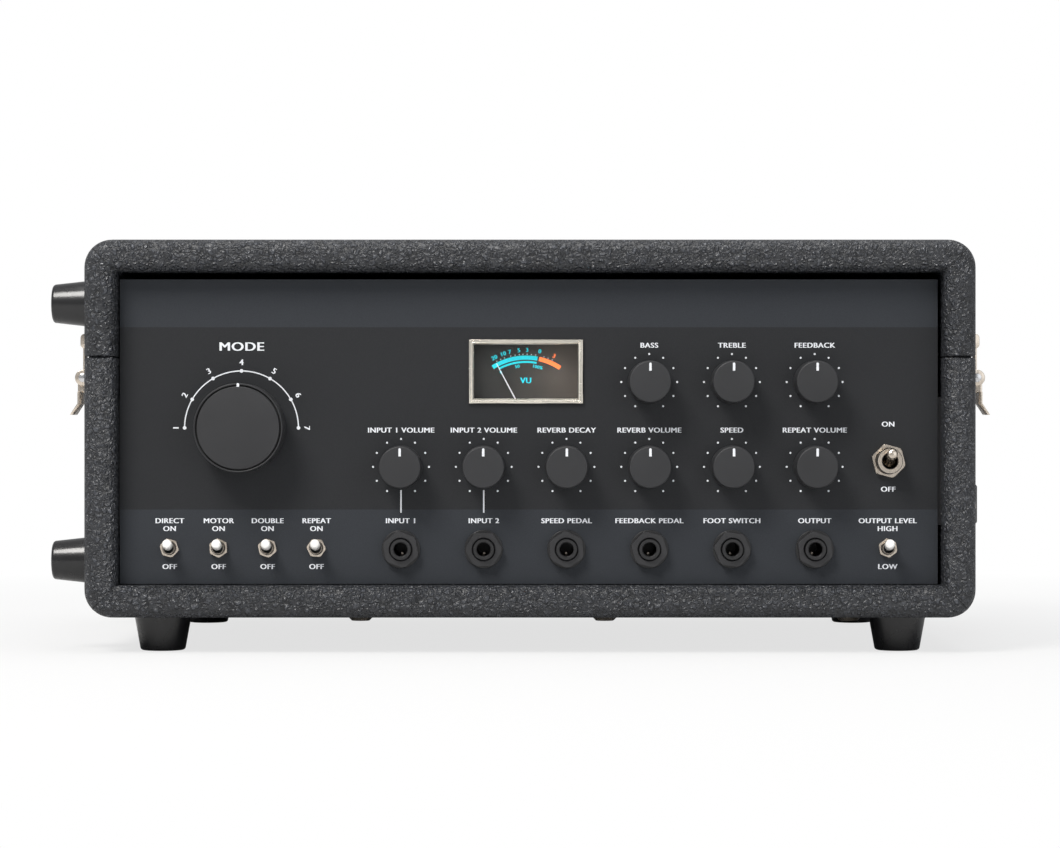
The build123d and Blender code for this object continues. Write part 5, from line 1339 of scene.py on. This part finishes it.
class ECHO_OT_meter(bpy.types.Operator):
    """Level meter: stepped bezel, dark dial with its lit scale, needle and glass"""

    bl_idname = "tape_echo.meter"
    bl_label = "Level meter"

    def execute(self, context):
        dress("black_plastic", "meter_housing")
        dress("glass", "meter_glass")
        low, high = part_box("meter_bezel")
        glass_low, glass_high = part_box("meter_glass")
        self.bezel(low, high, glass_low)
        pivot = JOINTS["needle_swing"]["pos_m"]
        dial_y = pivot[1] + 2.0 * MM
        left, right, down, up = glass_low.x, glass_high.x, glass_low.z, glass_high.z
        card = outline_plate([(left, down), (right, down), (right, up), (left, up)], 0.05 * MM)
        upright = Matrix.Translation((0, dial_y, 0)) @ Matrix.Rotation(math.pi / 2, 4, "X")
        bmesh.ops.transform(card, verts=card.verts, matrix=upright)
        finished("meter_dial", card, "dial")
        ink_y = dial_y - 0.10 * MM
        arc = 28.9 * MM
        thick, thin, gap = 1.95 * MM, 0.95 * MM, 2.05 * MM
        lift = PANEL_FACE - ink_y
        blue = [stroke(arc_points((pivot[0], pivot[2]), arc, -32.8, 10.8, 40), thick, lift),
                stroke(arc_points((pivot[0], pivot[2]), arc - gap, -28.5, 10.8, 40), thin, lift)]
        scale = (("20", -27.3), ("10", -19.4), ("7", -13.7), ("5", -5.9), ("3", 1.0), ("0", 11.6))
        entries = [(text, angle, arc + 3.5 * MM, 1.9 * MM) for text, angle in scale]
        entries += [("0", -28.2, arc - 4.0 * MM, 1.3 * MM), ("50", -9.4, arc - 3.9 * MM, 1.5 * MM),
                    ("100%", 12.5, arc - 3.9 * MM, 1.5 * MM), ("VU", 0, arc - 10.9 * MM, 2.7 * MM)]
        blue.append(dial_marks(pivot, entries, ink_y))
        finished("meter_blue", joined(blue), "dial_blue")
        red = [stroke(arc_points((pivot[0], pivot[2]), arc, 12.4, 33.8, 24), thick, lift)]
        finished("meter_red", joined(red), "dial_red")
        red_marks = dial_marks(pivot, [("3", 24.1, arc + 3.5 * MM, 1.9 * MM)], ink_y)
        finished("meter_red_marks", red_marks, "dial_red")
        angles = (-26.8, -23.1, -19.4, -13.6, -9.7, -5.9, -2.7, 1.0, 4.8, 8.6, 16.2, 20.1, 24.0)
        spots = []
        reach = arc + 1.55 * MM
        for angle in angles:
            turn = math.radians(angle)
            x = pivot[0] + reach * math.sin(turn)
            z = pivot[2] + reach * math.cos(turn)
            spots.append(((x, ink_y, z), FRONT, 0.0))
        scattered("meter_dots", disc(0.28 * MM, 12), spots, "dial_white", smooth=None)
        self.needle(pivot)
        return {"FINISHED"}

    def bezel(self, low, high, glass_low):
        """Rectangular frame swept round with a stepped, rounded section."""
        out = PANEL_FACE - low.y
        inner = (glass_low.x - low.x) - 0.1 * MM
        section = [(0, 0), (0, out - 0.35 * MM), (0.35 * MM, out), (0.95 * MM, out),
                   (1.25 * MM, out - 0.45 * MM), (1.45 * MM, out - 0.45 * MM),
                   (1.75 * MM, out - 0.25 * MM), (2.0 * MM, out - 0.7 * MM),
                   (inner, out - 1.0 * MM), (inner, 0)]
        bm = bmesh.new()
        rings = []
        for inset, rise in section:
            left, right = low.x + inset, high.x - inset
            down, up = low.z + inset, high.z - inset
            ring = [(left, down), (right, down), (right, up), (left, up)]
            rings.append([bm.verts.new((x, PANEL_FACE - rise, z)) for x, z in ring])
        rings.append(rings[0])
        for outer, inside in zip(rings, rings[1:]):
            for i in range(4):
                j = (i + 1) % 4
                bm.faces.new((outer[i], outer[j], inside[j], inside[i]))
        bmesh.ops.recalc_face_normals(bm, faces=bm.faces)
        piece = finished("meter_bezel_fine", bm, "bezel", "case", None)
        bevel = piece.modifiers.new("edge", "BEVEL")
        bevel.width = 0.08 * MM
        bevel.segments = 2
        evaluated(piece)
        piece.data.shade_smooth()
        piece.data.set_sharp_from_angle(angle=math.radians(50))
        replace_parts(piece, "meter_bezel")

    def needle(self, pivot):
        blade = outline_plate(in_mm((-0.42, -4), (0.42, -4), (0.19, 29.5), (-0.19, 29.5)), 0.3 * MM)
        hub = turned(in_mm((0, -1.2), (2.5, -1.2), (2.5, 0.9), (2.2, 1.2), (0, 1.2)), 32)
        whole = joined([blade, hub])
        turn = Matrix.Rotation(math.radians(-28), 4, "Y") @ Matrix.Rotation(math.pi / 2, 4, "X")
        bmesh.ops.transform(whole, matrix=Matrix.Translation(pivot) @ turn, verts=whole.verts)
        needle = finished("needle_fine", whole, "needle_white", "needle", 40)
        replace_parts(needle, "meter_needle")


# ---------------------------------------------------------------- latches, handle and hinges
class ECHO_OT_latches(bpy.types.Operator):
    """Draw latches with their rivets, screws and springs"""

    bl_idname = "tape_echo.latches"
    bl_label = "Draw latches"

    def execute(self, context):
        refined("latch_bases", "nickel", "case", 0.25 * MM)
        refined("latch_catches", "nickel", "lid", 0.25 * MM)
        head, ear, catch_ear = 4.4 * MM, 8.4 * MM, 8.2 * MM
        for side, sign in (("right", 1), ("left", -1)):
            refined(f"latch_lever_{side}", "nickel", f"lever_{side}", 0.3 * MM)
            refined(f"latch_hook_{side}", "nickel", f"hook_{side}", 0.3 * MM)
            pivot = Vector(JOINTS[f"latch_lever_{side}_swing"]["pos_m"])
            face_x = sign * (CASE_HIGH.x + 1.2 * MM)
            base_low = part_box("latch_bases")[0]
            catch_low, catch_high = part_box("latch_catches")
            out = (sign, 0, 0)
            places = [(pivot.y + dy, z) for dy in (-ear, ear)
                      for z in (base_low.z + 5 * MM, base_low.z + 13.5 * MM)]
            spots = [((face_x, y, z), out, 30 * y) for y, z in places]
            scattered(f"latch_screws_{side}", screw_head(head, 1.5 * MM), spots, "nickel")
            catch_z = (catch_low.z + catch_high.z) / 2
            spots = [((face_x, pivot.y + dy, catch_z), out, 40 * dy) for dy in (-catch_ear, catch_ear)]
            scattered(f"catch_screws_{side}", screw_head(3.6 * MM, 1.3 * MM), spots, "nickel", "lid")
            cap = turned(in_mm((0, 0), (2.2, 0), (2.1, 0.45), (1.4, 0.8), (0, 0.9)), 32)
            rivets = [((pivot.x, pivot.y + end * ear, pivot.z), (0, end, 0), 0.0) for end in (-1, 1)]
            scattered(f"latch_rivets_{side}", cap, rivets, "steel")
            hook_pin = Vector(JOINTS[f"latch_hook_{side}_swing"]["pos_m"])
            self.spring(side, hook_pin)
        return {"FINISHED"}

    def spring(self, side, place):
        """Torsion spring wound on the hook's pin, between the hook and the lever's cheek."""
        coil, wire, turns, steps = 1.9 * MM, 0.22 * MM, 3.0, 24
        points = []
        for i in range(int(turns * steps) + 1):
            turn = 2 * math.pi * i / steps
            along = 4.25 * MM + i / (turns * steps) * 1.35 * MM
            points.append(place + Vector((coil * math.cos(turn), along, coil * math.sin(turn))))
        curve = bpy.data.curves.new("spring", "CURVE")
        curve.dimensions = "3D"
        curve.bevel_depth = wire
        curve.bevel_resolution = 3
        curve.use_fill_caps = True
        spline = curve.splines.new("POLY")
        spline.points.add(len(points) - 1)
        for target, point in zip(spline.points, points):
            target.co = (*point, 1)
        item = bpy.data.objects.new("spring", curve)
        bpy.context.scene.collection.objects.link(item)
        depsgraph = bpy.context.evaluated_depsgraph_get()
        mesh = bpy.data.meshes.new_from_object(item.evaluated_get(depsgraph), depsgraph=depsgraph)
        bpy.data.objects.remove(item)
        finished(f"latch_spring_{side}", mesh, "steel", f"lever_{side}", 60)


class ECHO_OT_handle(bpy.types.Operator):
    """Carrying handle: moulded strap with seams, and its two plated end caps with screws"""

    bl_idname = "tape_echo.handle"
    bl_label = "Carrying handle"

    def execute(self, context):
        refined("handle_strap", "strap", "case", 0.9 * MM, 3, 40)
        refined("handle_caps", "nickel", "case", 0.2 * MM, 2, 40)
        low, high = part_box("handle_caps")
        middle_z = (low.z + high.z) / 2
        cap_middle = 15 * MM
        spots = [((high.x - 0.15 * MM, y, middle_z), (1, 0, 0), 0.6)
                 for y in (low.y + cap_middle, high.y - cap_middle)]
        washer = turned(rounded(in_mm((0, -0.5), (4.6, -0.5), (4.6, 0.35), (0, 0.9)),
                                0.3 * MM, (2,)), 40)
        scattered("handle_washers", washer, spots, "nickel")
        head = screw_head(6.4 * MM, 2.0 * MM)
        bmesh.ops.translate(head, verts=head.verts, vec=(0, 0, 0.45 * MM))
        scattered("handle_screws", head, spots, "nickel")
        return {"FINISHED"}


class ECHO_OT_hinges(bpy.types.Operator):
    """Lid hinges at the rear, with their screws and pin ends"""

    bl_idname = "tape_echo.hinges"
    bl_label = "Lid hinges"

    def execute(self, context):
        refined("hinge_leaves_body", "nickel", "case", 0.15 * MM)
        refined("hinge_leaves_lid", "nickel", "lid", 0.15 * MM)
        axis = JOINTS["lid_hinge"]["pos_m"]
        for node, body, away in (("hinge_leaves_body", "case", -1), ("hinge_leaves_lid", "lid", 1)):
            low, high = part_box(node)
            face_y = CASE_HIGH.y + 1.6 * MM
            level = axis[2] + away * 15.5 * MM
            centres = (low.x + 30 * MM, high.x - 30 * MM)
            spots = [((centre + dx, face_y, level), (0, 1, 0), 55 * dx)
                     for centre in centres for dx in (-21 * MM, 0, 21 * MM)]
            scattered(f"{node}_screws", screw_head(5.2 * MM, 1.4 * MM), spots, "nickel", body)
        low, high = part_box("hinge_leaves_body")
        ends = [((x, axis[1], axis[2]), (sign, 0, 0), 0.0)
                for sign, xs in ((-1, (low.x, high.x - 60 * MM)), (1, (low.x + 60 * MM, high.x))) for x in xs]
        dome = turned(in_mm((0, -0.2), (1.9, -0.2), (1.7, 0.5), (0, 0.9)), 24)
        scattered("hinge_pin_ends", dome, ends, "steel")
        return {"FINISHED"}


# ---------------------------------------------------------------- rear panel and inside
class ECHO_OT_rear(bpy.types.Operator):
    """Rear panel with its vents and screws, and the mains inlet"""

    bl_idname = "tape_echo.rear"
    bl_label = "Rear panel"

    def execute(self, context):
        refined("rear_panel", "rear_paint", "case", 0.2 * MM)
        refined("mains_inlet", "black_plastic", "case", 0.25 * MM)
        low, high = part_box("rear_panel")
        inset = 4.0 * MM
        middle_z = (low.z + high.z) / 2
        places = [(x, z) for x in (low.x + inset, 0.0, high.x - inset)
                  for z in (low.z + inset, high.z - inset)]
        places += [(x, middle_z) for x in (low.x + inset, high.x - inset)]
        spots = [((x, high.y, z), (0, 1, 0), 70 * x) for x, z in places]
        scattered("rear_screws", screw_head(5.0 * MM, 1.7 * MM), spots, "steel")
        inlet_low, inlet_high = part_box("mains_inlet")
        inlet_x = (inlet_low.x + inlet_high.x) / 2
        spots = [((inlet_x + side * 20 * MM, inlet_high.y, middle_z), (0, 1, 0), 0.5) for side in (-1, 1)]
        scattered("inlet_screws", screw_head(5.4 * MM, 1.2 * MM), spots, "steel")
        return {"FINISHED"}


class ECHO_OT_transport(bpy.types.Operator):
    """Transport deck: plate, guides, heads, capstan drive and pinch roller"""

    bl_idname = "tape_echo.transport"
    bl_label = "Tape transport"

    def execute(self, context):
        for node in ("deck_plate", "head_block"):
            refined(node, "deck_metal", "case", 0.3 * MM)
        refined("tape_heads", "heads", "case", 0.35 * MM, 3)
        refined("capstan", "steel", "capstan_shaft", 0.3 * MM)
        refined("motor_pulley", "steel", "motor_rotor", 0.25 * MM)
        refined("pinch_arm", "steel", "roller_arm", 0.25 * MM)
        refined("pinch_roller", "roller_rubber", "roller", 0.3 * MM)
        refined("motor", "rear_paint", "case", 0.4 * MM)
        dress("roller_rubber", "drive_belt")
        self.screws()
        self.head_details()
        self.spring()
        return {"FINISHED"}

    def screws(self):
        low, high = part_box("deck_plate")
        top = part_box("head_block")[0].z
        inset = 7 * MM
        spots = [((x, y, top), UP, 60 * x + 9 * y) for x in (low.x + inset, high.x - inset)
                 for y in (low.y + inset, (low.y + high.y) / 2, high.y - inset)]
        motor = JOINTS["motor_spin"]["pos_m"]
        reach = 21 * MM
        for turn in (45, 135):
            x = motor[0] + reach * math.cos(math.radians(turn))
            y = motor[1] + reach * math.sin(math.radians(turn))
            spots.append(((x, y, top), UP, 0.3))
        scattered("deck_screws", screw_head(5.6 * MM, 2.0 * MM), spots, "steel")

    def head_details(self):
        """Pole pieces on each head's face, azimuth screws and leads behind."""
        low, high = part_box("tape_heads")
        count = 5
        pitch = (high.x - low.x - 19 * MM) / (count - 1)
        first = low.x + 9.5 * MM
        heads = [first + i * pitch for i in range(count)]
        tape_low, tape_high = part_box("tape_loop")
        tracks = []
        for x in heads:
            pole = outline_plate(in_mm((-1.2, -2.4), (1.2, -2.4), (1.2, 2.4), (-1.2, 2.4)), 0.08 * MM)
            tracks.append(placed(pole, (x, high.y - 0.03 * MM, (tape_low.z + tape_high.z) / 2), (0, 1, 0)))
        finished("head_poles", joined(tracks), "copper")
        base_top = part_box("head_block")[0].z + 4 * MM + 1.5 * MM
        spots = [((x + side * 8.75 * MM, low.y + 2.5 * MM, base_top), UP, 50 * x)
                 for x in heads for side in (-1, 1)]
        scattered("azimuth_screws", screw_head(1.5 * MM, 0.8 * MM), spots, "steel")
        pins = turned(in_mm((0, 0), (0.4, 0), (0.4, 3.0), (0, 3.0)), 12)
        spots = [((x + side * 3 * MM, low.y, high.z - drop), (0, -1, 0), 0.0)
                 for x in heads for side in (-1, 1) for drop in (4 * MM, 9 * MM)]
        scattered("head_pins", pins, spots, "copper")
        for number, x in enumerate(heads):
            self.lead(number, x, low, high)

    def lead(self, number, x, low, high):
        """Screened lead from a head's rear down to the deck."""
        start = Vector((x, low.y - 2.6 * MM, high.z - 6 * MM))
        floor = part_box("head_block")[0].z + 1.2 * MM
        block_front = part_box("head_block")[0].y
        route = [start, start + Vector((0, -5 * MM, -0.5 * MM)),
                 Vector((x + 1 * MM, block_front - 2 * MM, floor + 2 * MM)),
                 Vector((x + 4 * MM, block_front - 5 * MM, floor)),
                 Vector((x + 12 * MM, block_front - 5.5 * MM, floor))]
        tube(f"head_lead_{number + 1}", route, 0.9 * MM, "component")

    def spring(self):
        """Extension spring between the pinch arm and a post on the deck."""
        pivot = Vector(JOINTS["arm_swing"]["pos_m"])
        level = pivot.z + 5.6 * MM
        start = Vector((pivot.x + 14 * MM, pivot.y + 2 * MM, level))
        end = Vector((pivot.x + 14 * MM, pivot.y + 12.5 * MM, level))
        post = turned(in_mm((0, 0), (1.6, 0), (1.6, 7), (1.2, 7.4), (0, 7.4)), 24)
        finished("spring_post", placed(post, (end.x, end.y + 2 * MM, pivot.z), UP), "steel", smooth=40)
        points, turns, steps = [start + Vector((0, -1.5 * MM, 0))], 9, 14
        for i in range(turns * steps + 1):
            share = i / (turns * steps)
            turn = 2 * math.pi * i / steps
            aside = Vector((1.3 * MM * math.cos(turn), 0, 1.3 * MM * math.sin(turn)))
            points.append(start.lerp(end, share) + aside)
        points.append(end + Vector((0, 1.8 * MM, 0)))
        coil = tube("arm_spring", points, 0.22 * MM, "steel", None, smooth_path=False)
        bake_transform(coil)


def tube(name, points, radius, slot, body="case", smooth_path=True):
    """Round tube along points, as a mesh."""
    curve = bpy.data.curves.new(name, "CURVE")
    curve.dimensions = "3D"
    curve.bevel_depth = radius
    curve.bevel_resolution = 3
    curve.use_fill_caps = True
    if smooth_path:
        spline = curve.splines.new("BEZIER")
        spline.bezier_points.add(len(points) - 1)
        for target, point in zip(spline.bezier_points, points):
            target.co = point
            target.handle_left_type = target.handle_right_type = "AUTO"
    else:
        spline = curve.splines.new("POLY")
        spline.points.add(len(points) - 1)
        for target, point in zip(spline.points, points):
            target.co = (*point, 1)
    item = bpy.data.objects.new(name, curve)
    bpy.context.scene.collection.objects.link(item)
    depsgraph = bpy.context.evaluated_depsgraph_get()
    mesh = bpy.data.meshes.new_from_object(item.evaluated_get(depsgraph), depsgraph=depsgraph)
    bpy.data.objects.remove(item)
    return finished(name, mesh, slot, body, 60)


class ECHO_OT_chamber(bpy.types.Operator):
    """Tape chamber with its clear cover, the folded endless tape and the cover screws"""

    bl_idname = "tape_echo.chamber"
    bl_label = "Tape chamber"

    def execute(self, context):
        refined("tape_tank", "tank_plastic", "case", 0.3 * MM)
        dress("clear_cover", "tank_cover")
        dress("tape", "tape_loop")
        low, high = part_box("tank_cover")
        inset = 7 * MM
        spots = [((x, y, high.z), UP, 33 * x) for x in (low.x + inset, high.x - inset)
                 for y in (low.y + inset, high.y - inset)]
        scattered("cover_screws", screw_head(6.4 * MM, 2.4 * MM), spots, "steel")
        return {"FINISHED"}


class ECHO_OT_chassis(bpy.types.Operator):
    """Chassis tray, rails, transformer and the circuit board with its small components"""

    bl_idname = "tape_echo.chassis"
    bl_label = "Chassis"

    def execute(self, context):
        dress("rear_paint", "chassis_tray", "side_rails")
        dress("black_plastic", "potentiometers", "mode_switch")
        refined("transformer", "rear_paint", "case", 0.5 * MM)
        dress("circuit", "main_board")
        self.components()
        return {"FINISHED"}

    def components(self):
        """Rows of resistors and chips on the board, placed by a grid."""
        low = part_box("main_board")[0]
        top = low.z + 8 * MM + 1.6 * MM
        resistor = turned(in_mm((0, -3), (0.9, -3), (1.1, -2.2), (0.8, -1.6), (0.8, 1.6), (1.1, 2.2),
                                (0.9, 3), (0, 3)), 16)
        spots = []
        for row in range(5):
            for column in range(9):
                x = low.x + 14 * MM + column * 11 * MM
                y = low.y + 12 * MM + row * 7 * MM
                aim = (1, 0, 0) if (row + column) % 3 else (0, 1, 0)
                spots.append(((x, y, top + 1.2 * MM), aim, 0.0))
        scattered("resistors", resistor, spots, "copper")
        chip = outline_plate(in_mm((-5, -3.2), (5, -3.2), (5, 3.2), (-5, 3.2)), 3.2 * MM)
        spots = [((low.x + 18 * MM + i * 22 * MM, low.y + 54 * MM, top), UP, 0.0) for i in range(5)]
        scattered("chips", chip, spots, "component", smooth=None)


# ---------------------------------------------------------------- stage
class ECHO_OT_stage(bpy.types.Operator):
    """Pale floor, soft studio light, white background and the camera"""

    bl_idname = "tape_echo.stage"
    bl_label = "Stage"

    def execute(self, context):
        scene = context.scene
        self.floor()
        self.world(scene)
        self.lamps(scene)
        self.camera(scene)
        scene.view_settings.view_transform = "Standard"
        return {"FINISHED"}

    def floor(self):
        bm = bmesh.new()
        reach = 4.0
        corners = ((-1, -1), (1, -1), (1, 1), (-1, 1))
        bm.faces.new([bm.verts.new((x * reach, y * reach, 0)) for x, y in corners])
        mesh = bpy.data.meshes.new("floor")
        bm.to_mesh(mesh)
        bm.free()
        floor = bpy.data.objects.new("floor", mesh)
        bpy.context.scene.collection.objects.link(floor)
        shader = Shader("floor_paper")
        fibre = shader.noise(300, 4, 0.6)
        shader.colour(shader.mix(shader.span(fibre, 0.3, 0.7, 0, 1), (0.60, 0.60, 0.60), (0.64, 0.64, 0.64)))
        shader.set(Roughness=0.9)
        self.whiten(shader)
        mesh.materials.append(shader.material)

    def whiten(self, shader):
        """Blends the paper to plain white away from the object, and keeps a soft shadow under it."""
        white = shader.node("ShaderNodeEmission")
        blend = shader.node("ShaderNodeMixShader")
        path = shader.node("ShaderNodeLightPath")
        far = shader.node("ShaderNodeVectorMath", operation="LENGTH")
        shader.join(shader.coords, far.inputs[0])
        share = shader.span(far.outputs["Value"], 0.25, 0.75, 0.74, 1.0)
        shader.join(shader.math("MULTIPLY", share, path.outputs["Is Camera Ray"]), blend.inputs[0])
        shader.join(shader.bsdf.outputs[0], blend.inputs[1])
        shader.join(white.outputs[0], blend.inputs[2])
        shader.join(blend.outputs[0], shader.tree.nodes["Material Output"].inputs["Surface"])

    def world(self, scene):
        world = bpy.data.worlds.new("studio")
        scene.world = world
        world.use_nodes = True
        tree = world.node_tree
        tree.nodes.clear()
        path = tree.nodes.new("ShaderNodeLightPath")
        seen = tree.nodes.new("ShaderNodeMath")
        seen.operation = "MAXIMUM"
        mirrored = tree.nodes.new("ShaderNodeMath")
        mirrored.operation = "MULTIPLY"
        mirrored.inputs[1].default_value = 0.22
        through = tree.nodes.new("ShaderNodeMath")
        through.operation = "MAXIMUM"
        white = tree.nodes.new("ShaderNodeBackground")
        white.inputs["Color"].default_value = (1, 1, 1, 1)
        white.inputs["Strength"].default_value = 1.0
        dim = tree.nodes.new("ShaderNodeBackground")
        dim.inputs["Color"].default_value = (0.97, 0.98, 1.0, 1)
        dim.inputs["Strength"].default_value = 0.32
        mix = tree.nodes.new("ShaderNodeMixShader")
        out = tree.nodes.new("ShaderNodeOutputWorld")
        tree.links.new(path.outputs["Is Glossy Ray"], mirrored.inputs[0])
        tree.links.new(path.outputs["Is Transmission Ray"], through.inputs[0])
        tree.links.new(mirrored.outputs[0], through.inputs[1])
        tree.links.new(path.outputs["Is Camera Ray"], seen.inputs[0])
        tree.links.new(through.outputs[0], seen.inputs[1])
        tree.links.new(seen.outputs[0], mix.inputs[0])
        tree.links.new(dim.outputs[0], mix.inputs[1])
        tree.links.new(white.outputs[0], mix.inputs[2])
        tree.links.new(mix.outputs[0], out.inputs["Surface"])

    def lamps(self, scene):
        target = Vector((0, 0, 0.11))
        for name, place, size, power, tint in (
            ("key", (-0.8, -1.2, 1.6), 0.8, 38, (1.0, 0.98, 0.95)),
            ("fill", (1.3, -1.5, 0.7), 1.6, 8, (0.93, 0.96, 1.0)),
            ("top", (0.1, -0.1, 1.7), 1.2, 16, (1.0, 1.0, 1.0)),
        ):
            data = bpy.data.lights.new(name, "AREA")
            data.shape = "SQUARE"
            data.size = size
            data.energy = power
            data.color = tint
            lamp = bpy.data.objects.new(name, data)
            lamp.location = place
            lamp.rotation_euler = (target - Vector(place)).to_track_quat("-Z", "Y").to_euler()
            scene.collection.objects.link(lamp)

    def camera(self, scene):
        stage = settings("stage")
        data = bpy.data.cameras.new("camera")
        data.sensor_width = 36
        data.lens = data.sensor_width * stage.distance / stage.view_width
        camera = bpy.data.objects.new("camera", data)
        camera.location = (0, CASE_LOW.y - stage.distance, CASE_LOW.z + stage.eye)
        camera.rotation_euler = (math.pi / 2, 0, 0)
        scene.collection.objects.link(camera)
        scene.camera = camera


# ---------------------------------------------------------------- add-on
OPERATORS = (
    ECHO_OT_case,
    ECHO_OT_feet,
    ECHO_OT_printing,
    ECHO_OT_knobs,
    ECHO_OT_jacks,
    ECHO_OT_switches,
    ECHO_OT_meter,
    ECHO_OT_latches,
    ECHO_OT_handle,
    ECHO_OT_hinges,
    ECHO_OT_rear,
    ECHO_OT_transport,
    ECHO_OT_chamber,
    ECHO_OT_chassis,
    ECHO_OT_stage,
)


class ECHO_PT_panel(bpy.types.Panel):
    """Sidebar panel with the settings and one button per group of pieces"""

    bl_label = "Tape Echo"
    bl_idname = "ECHO_PT_panel"
    bl_space_type = "VIEW_3D"
    bl_region_type = "UI"
    bl_category = "Tape Echo"

    def draw(self, context):
        for name, group in GROUPS.items():
            box = self.layout.box()
            box.label(text=name.capitalize())
            for field in group.__annotations__:
                box.prop(getattr(context.scene, "echo_" + name), field)
        for operator in OPERATORS:
            self.layout.operator(operator.bl_idname)


def register():
    for group in GROUPS.values():
        bpy.utils.register_class(group)
    for operator in OPERATORS:
        bpy.utils.register_class(operator)
    bpy.utils.register_class(ECHO_PT_panel)
    for name, group in GROUPS.items():
        setattr(bpy.types.Scene, "echo_" + name, PointerProperty(type=group))


def unregister():
    for name in GROUPS:
        delattr(bpy.types.Scene, "echo_" + name)
    bpy.utils.unregister_class(ECHO_PT_panel)
    for operator in reversed(OPERATORS):
        bpy.utils.unregister_class(operator)
    for group in reversed(GROUPS.values()):
        bpy.utils.unregister_class(group)


def main():
    register()
    for operator in OPERATORS:
        category, name = operator.bl_idname.split(".")
        if getattr(getattr(bpy.ops, category), name)() != {"FINISHED"}:
            raise RuntimeError(f"{operator.bl_idname} did not finish")


if __name__ == "__main__":
    main()
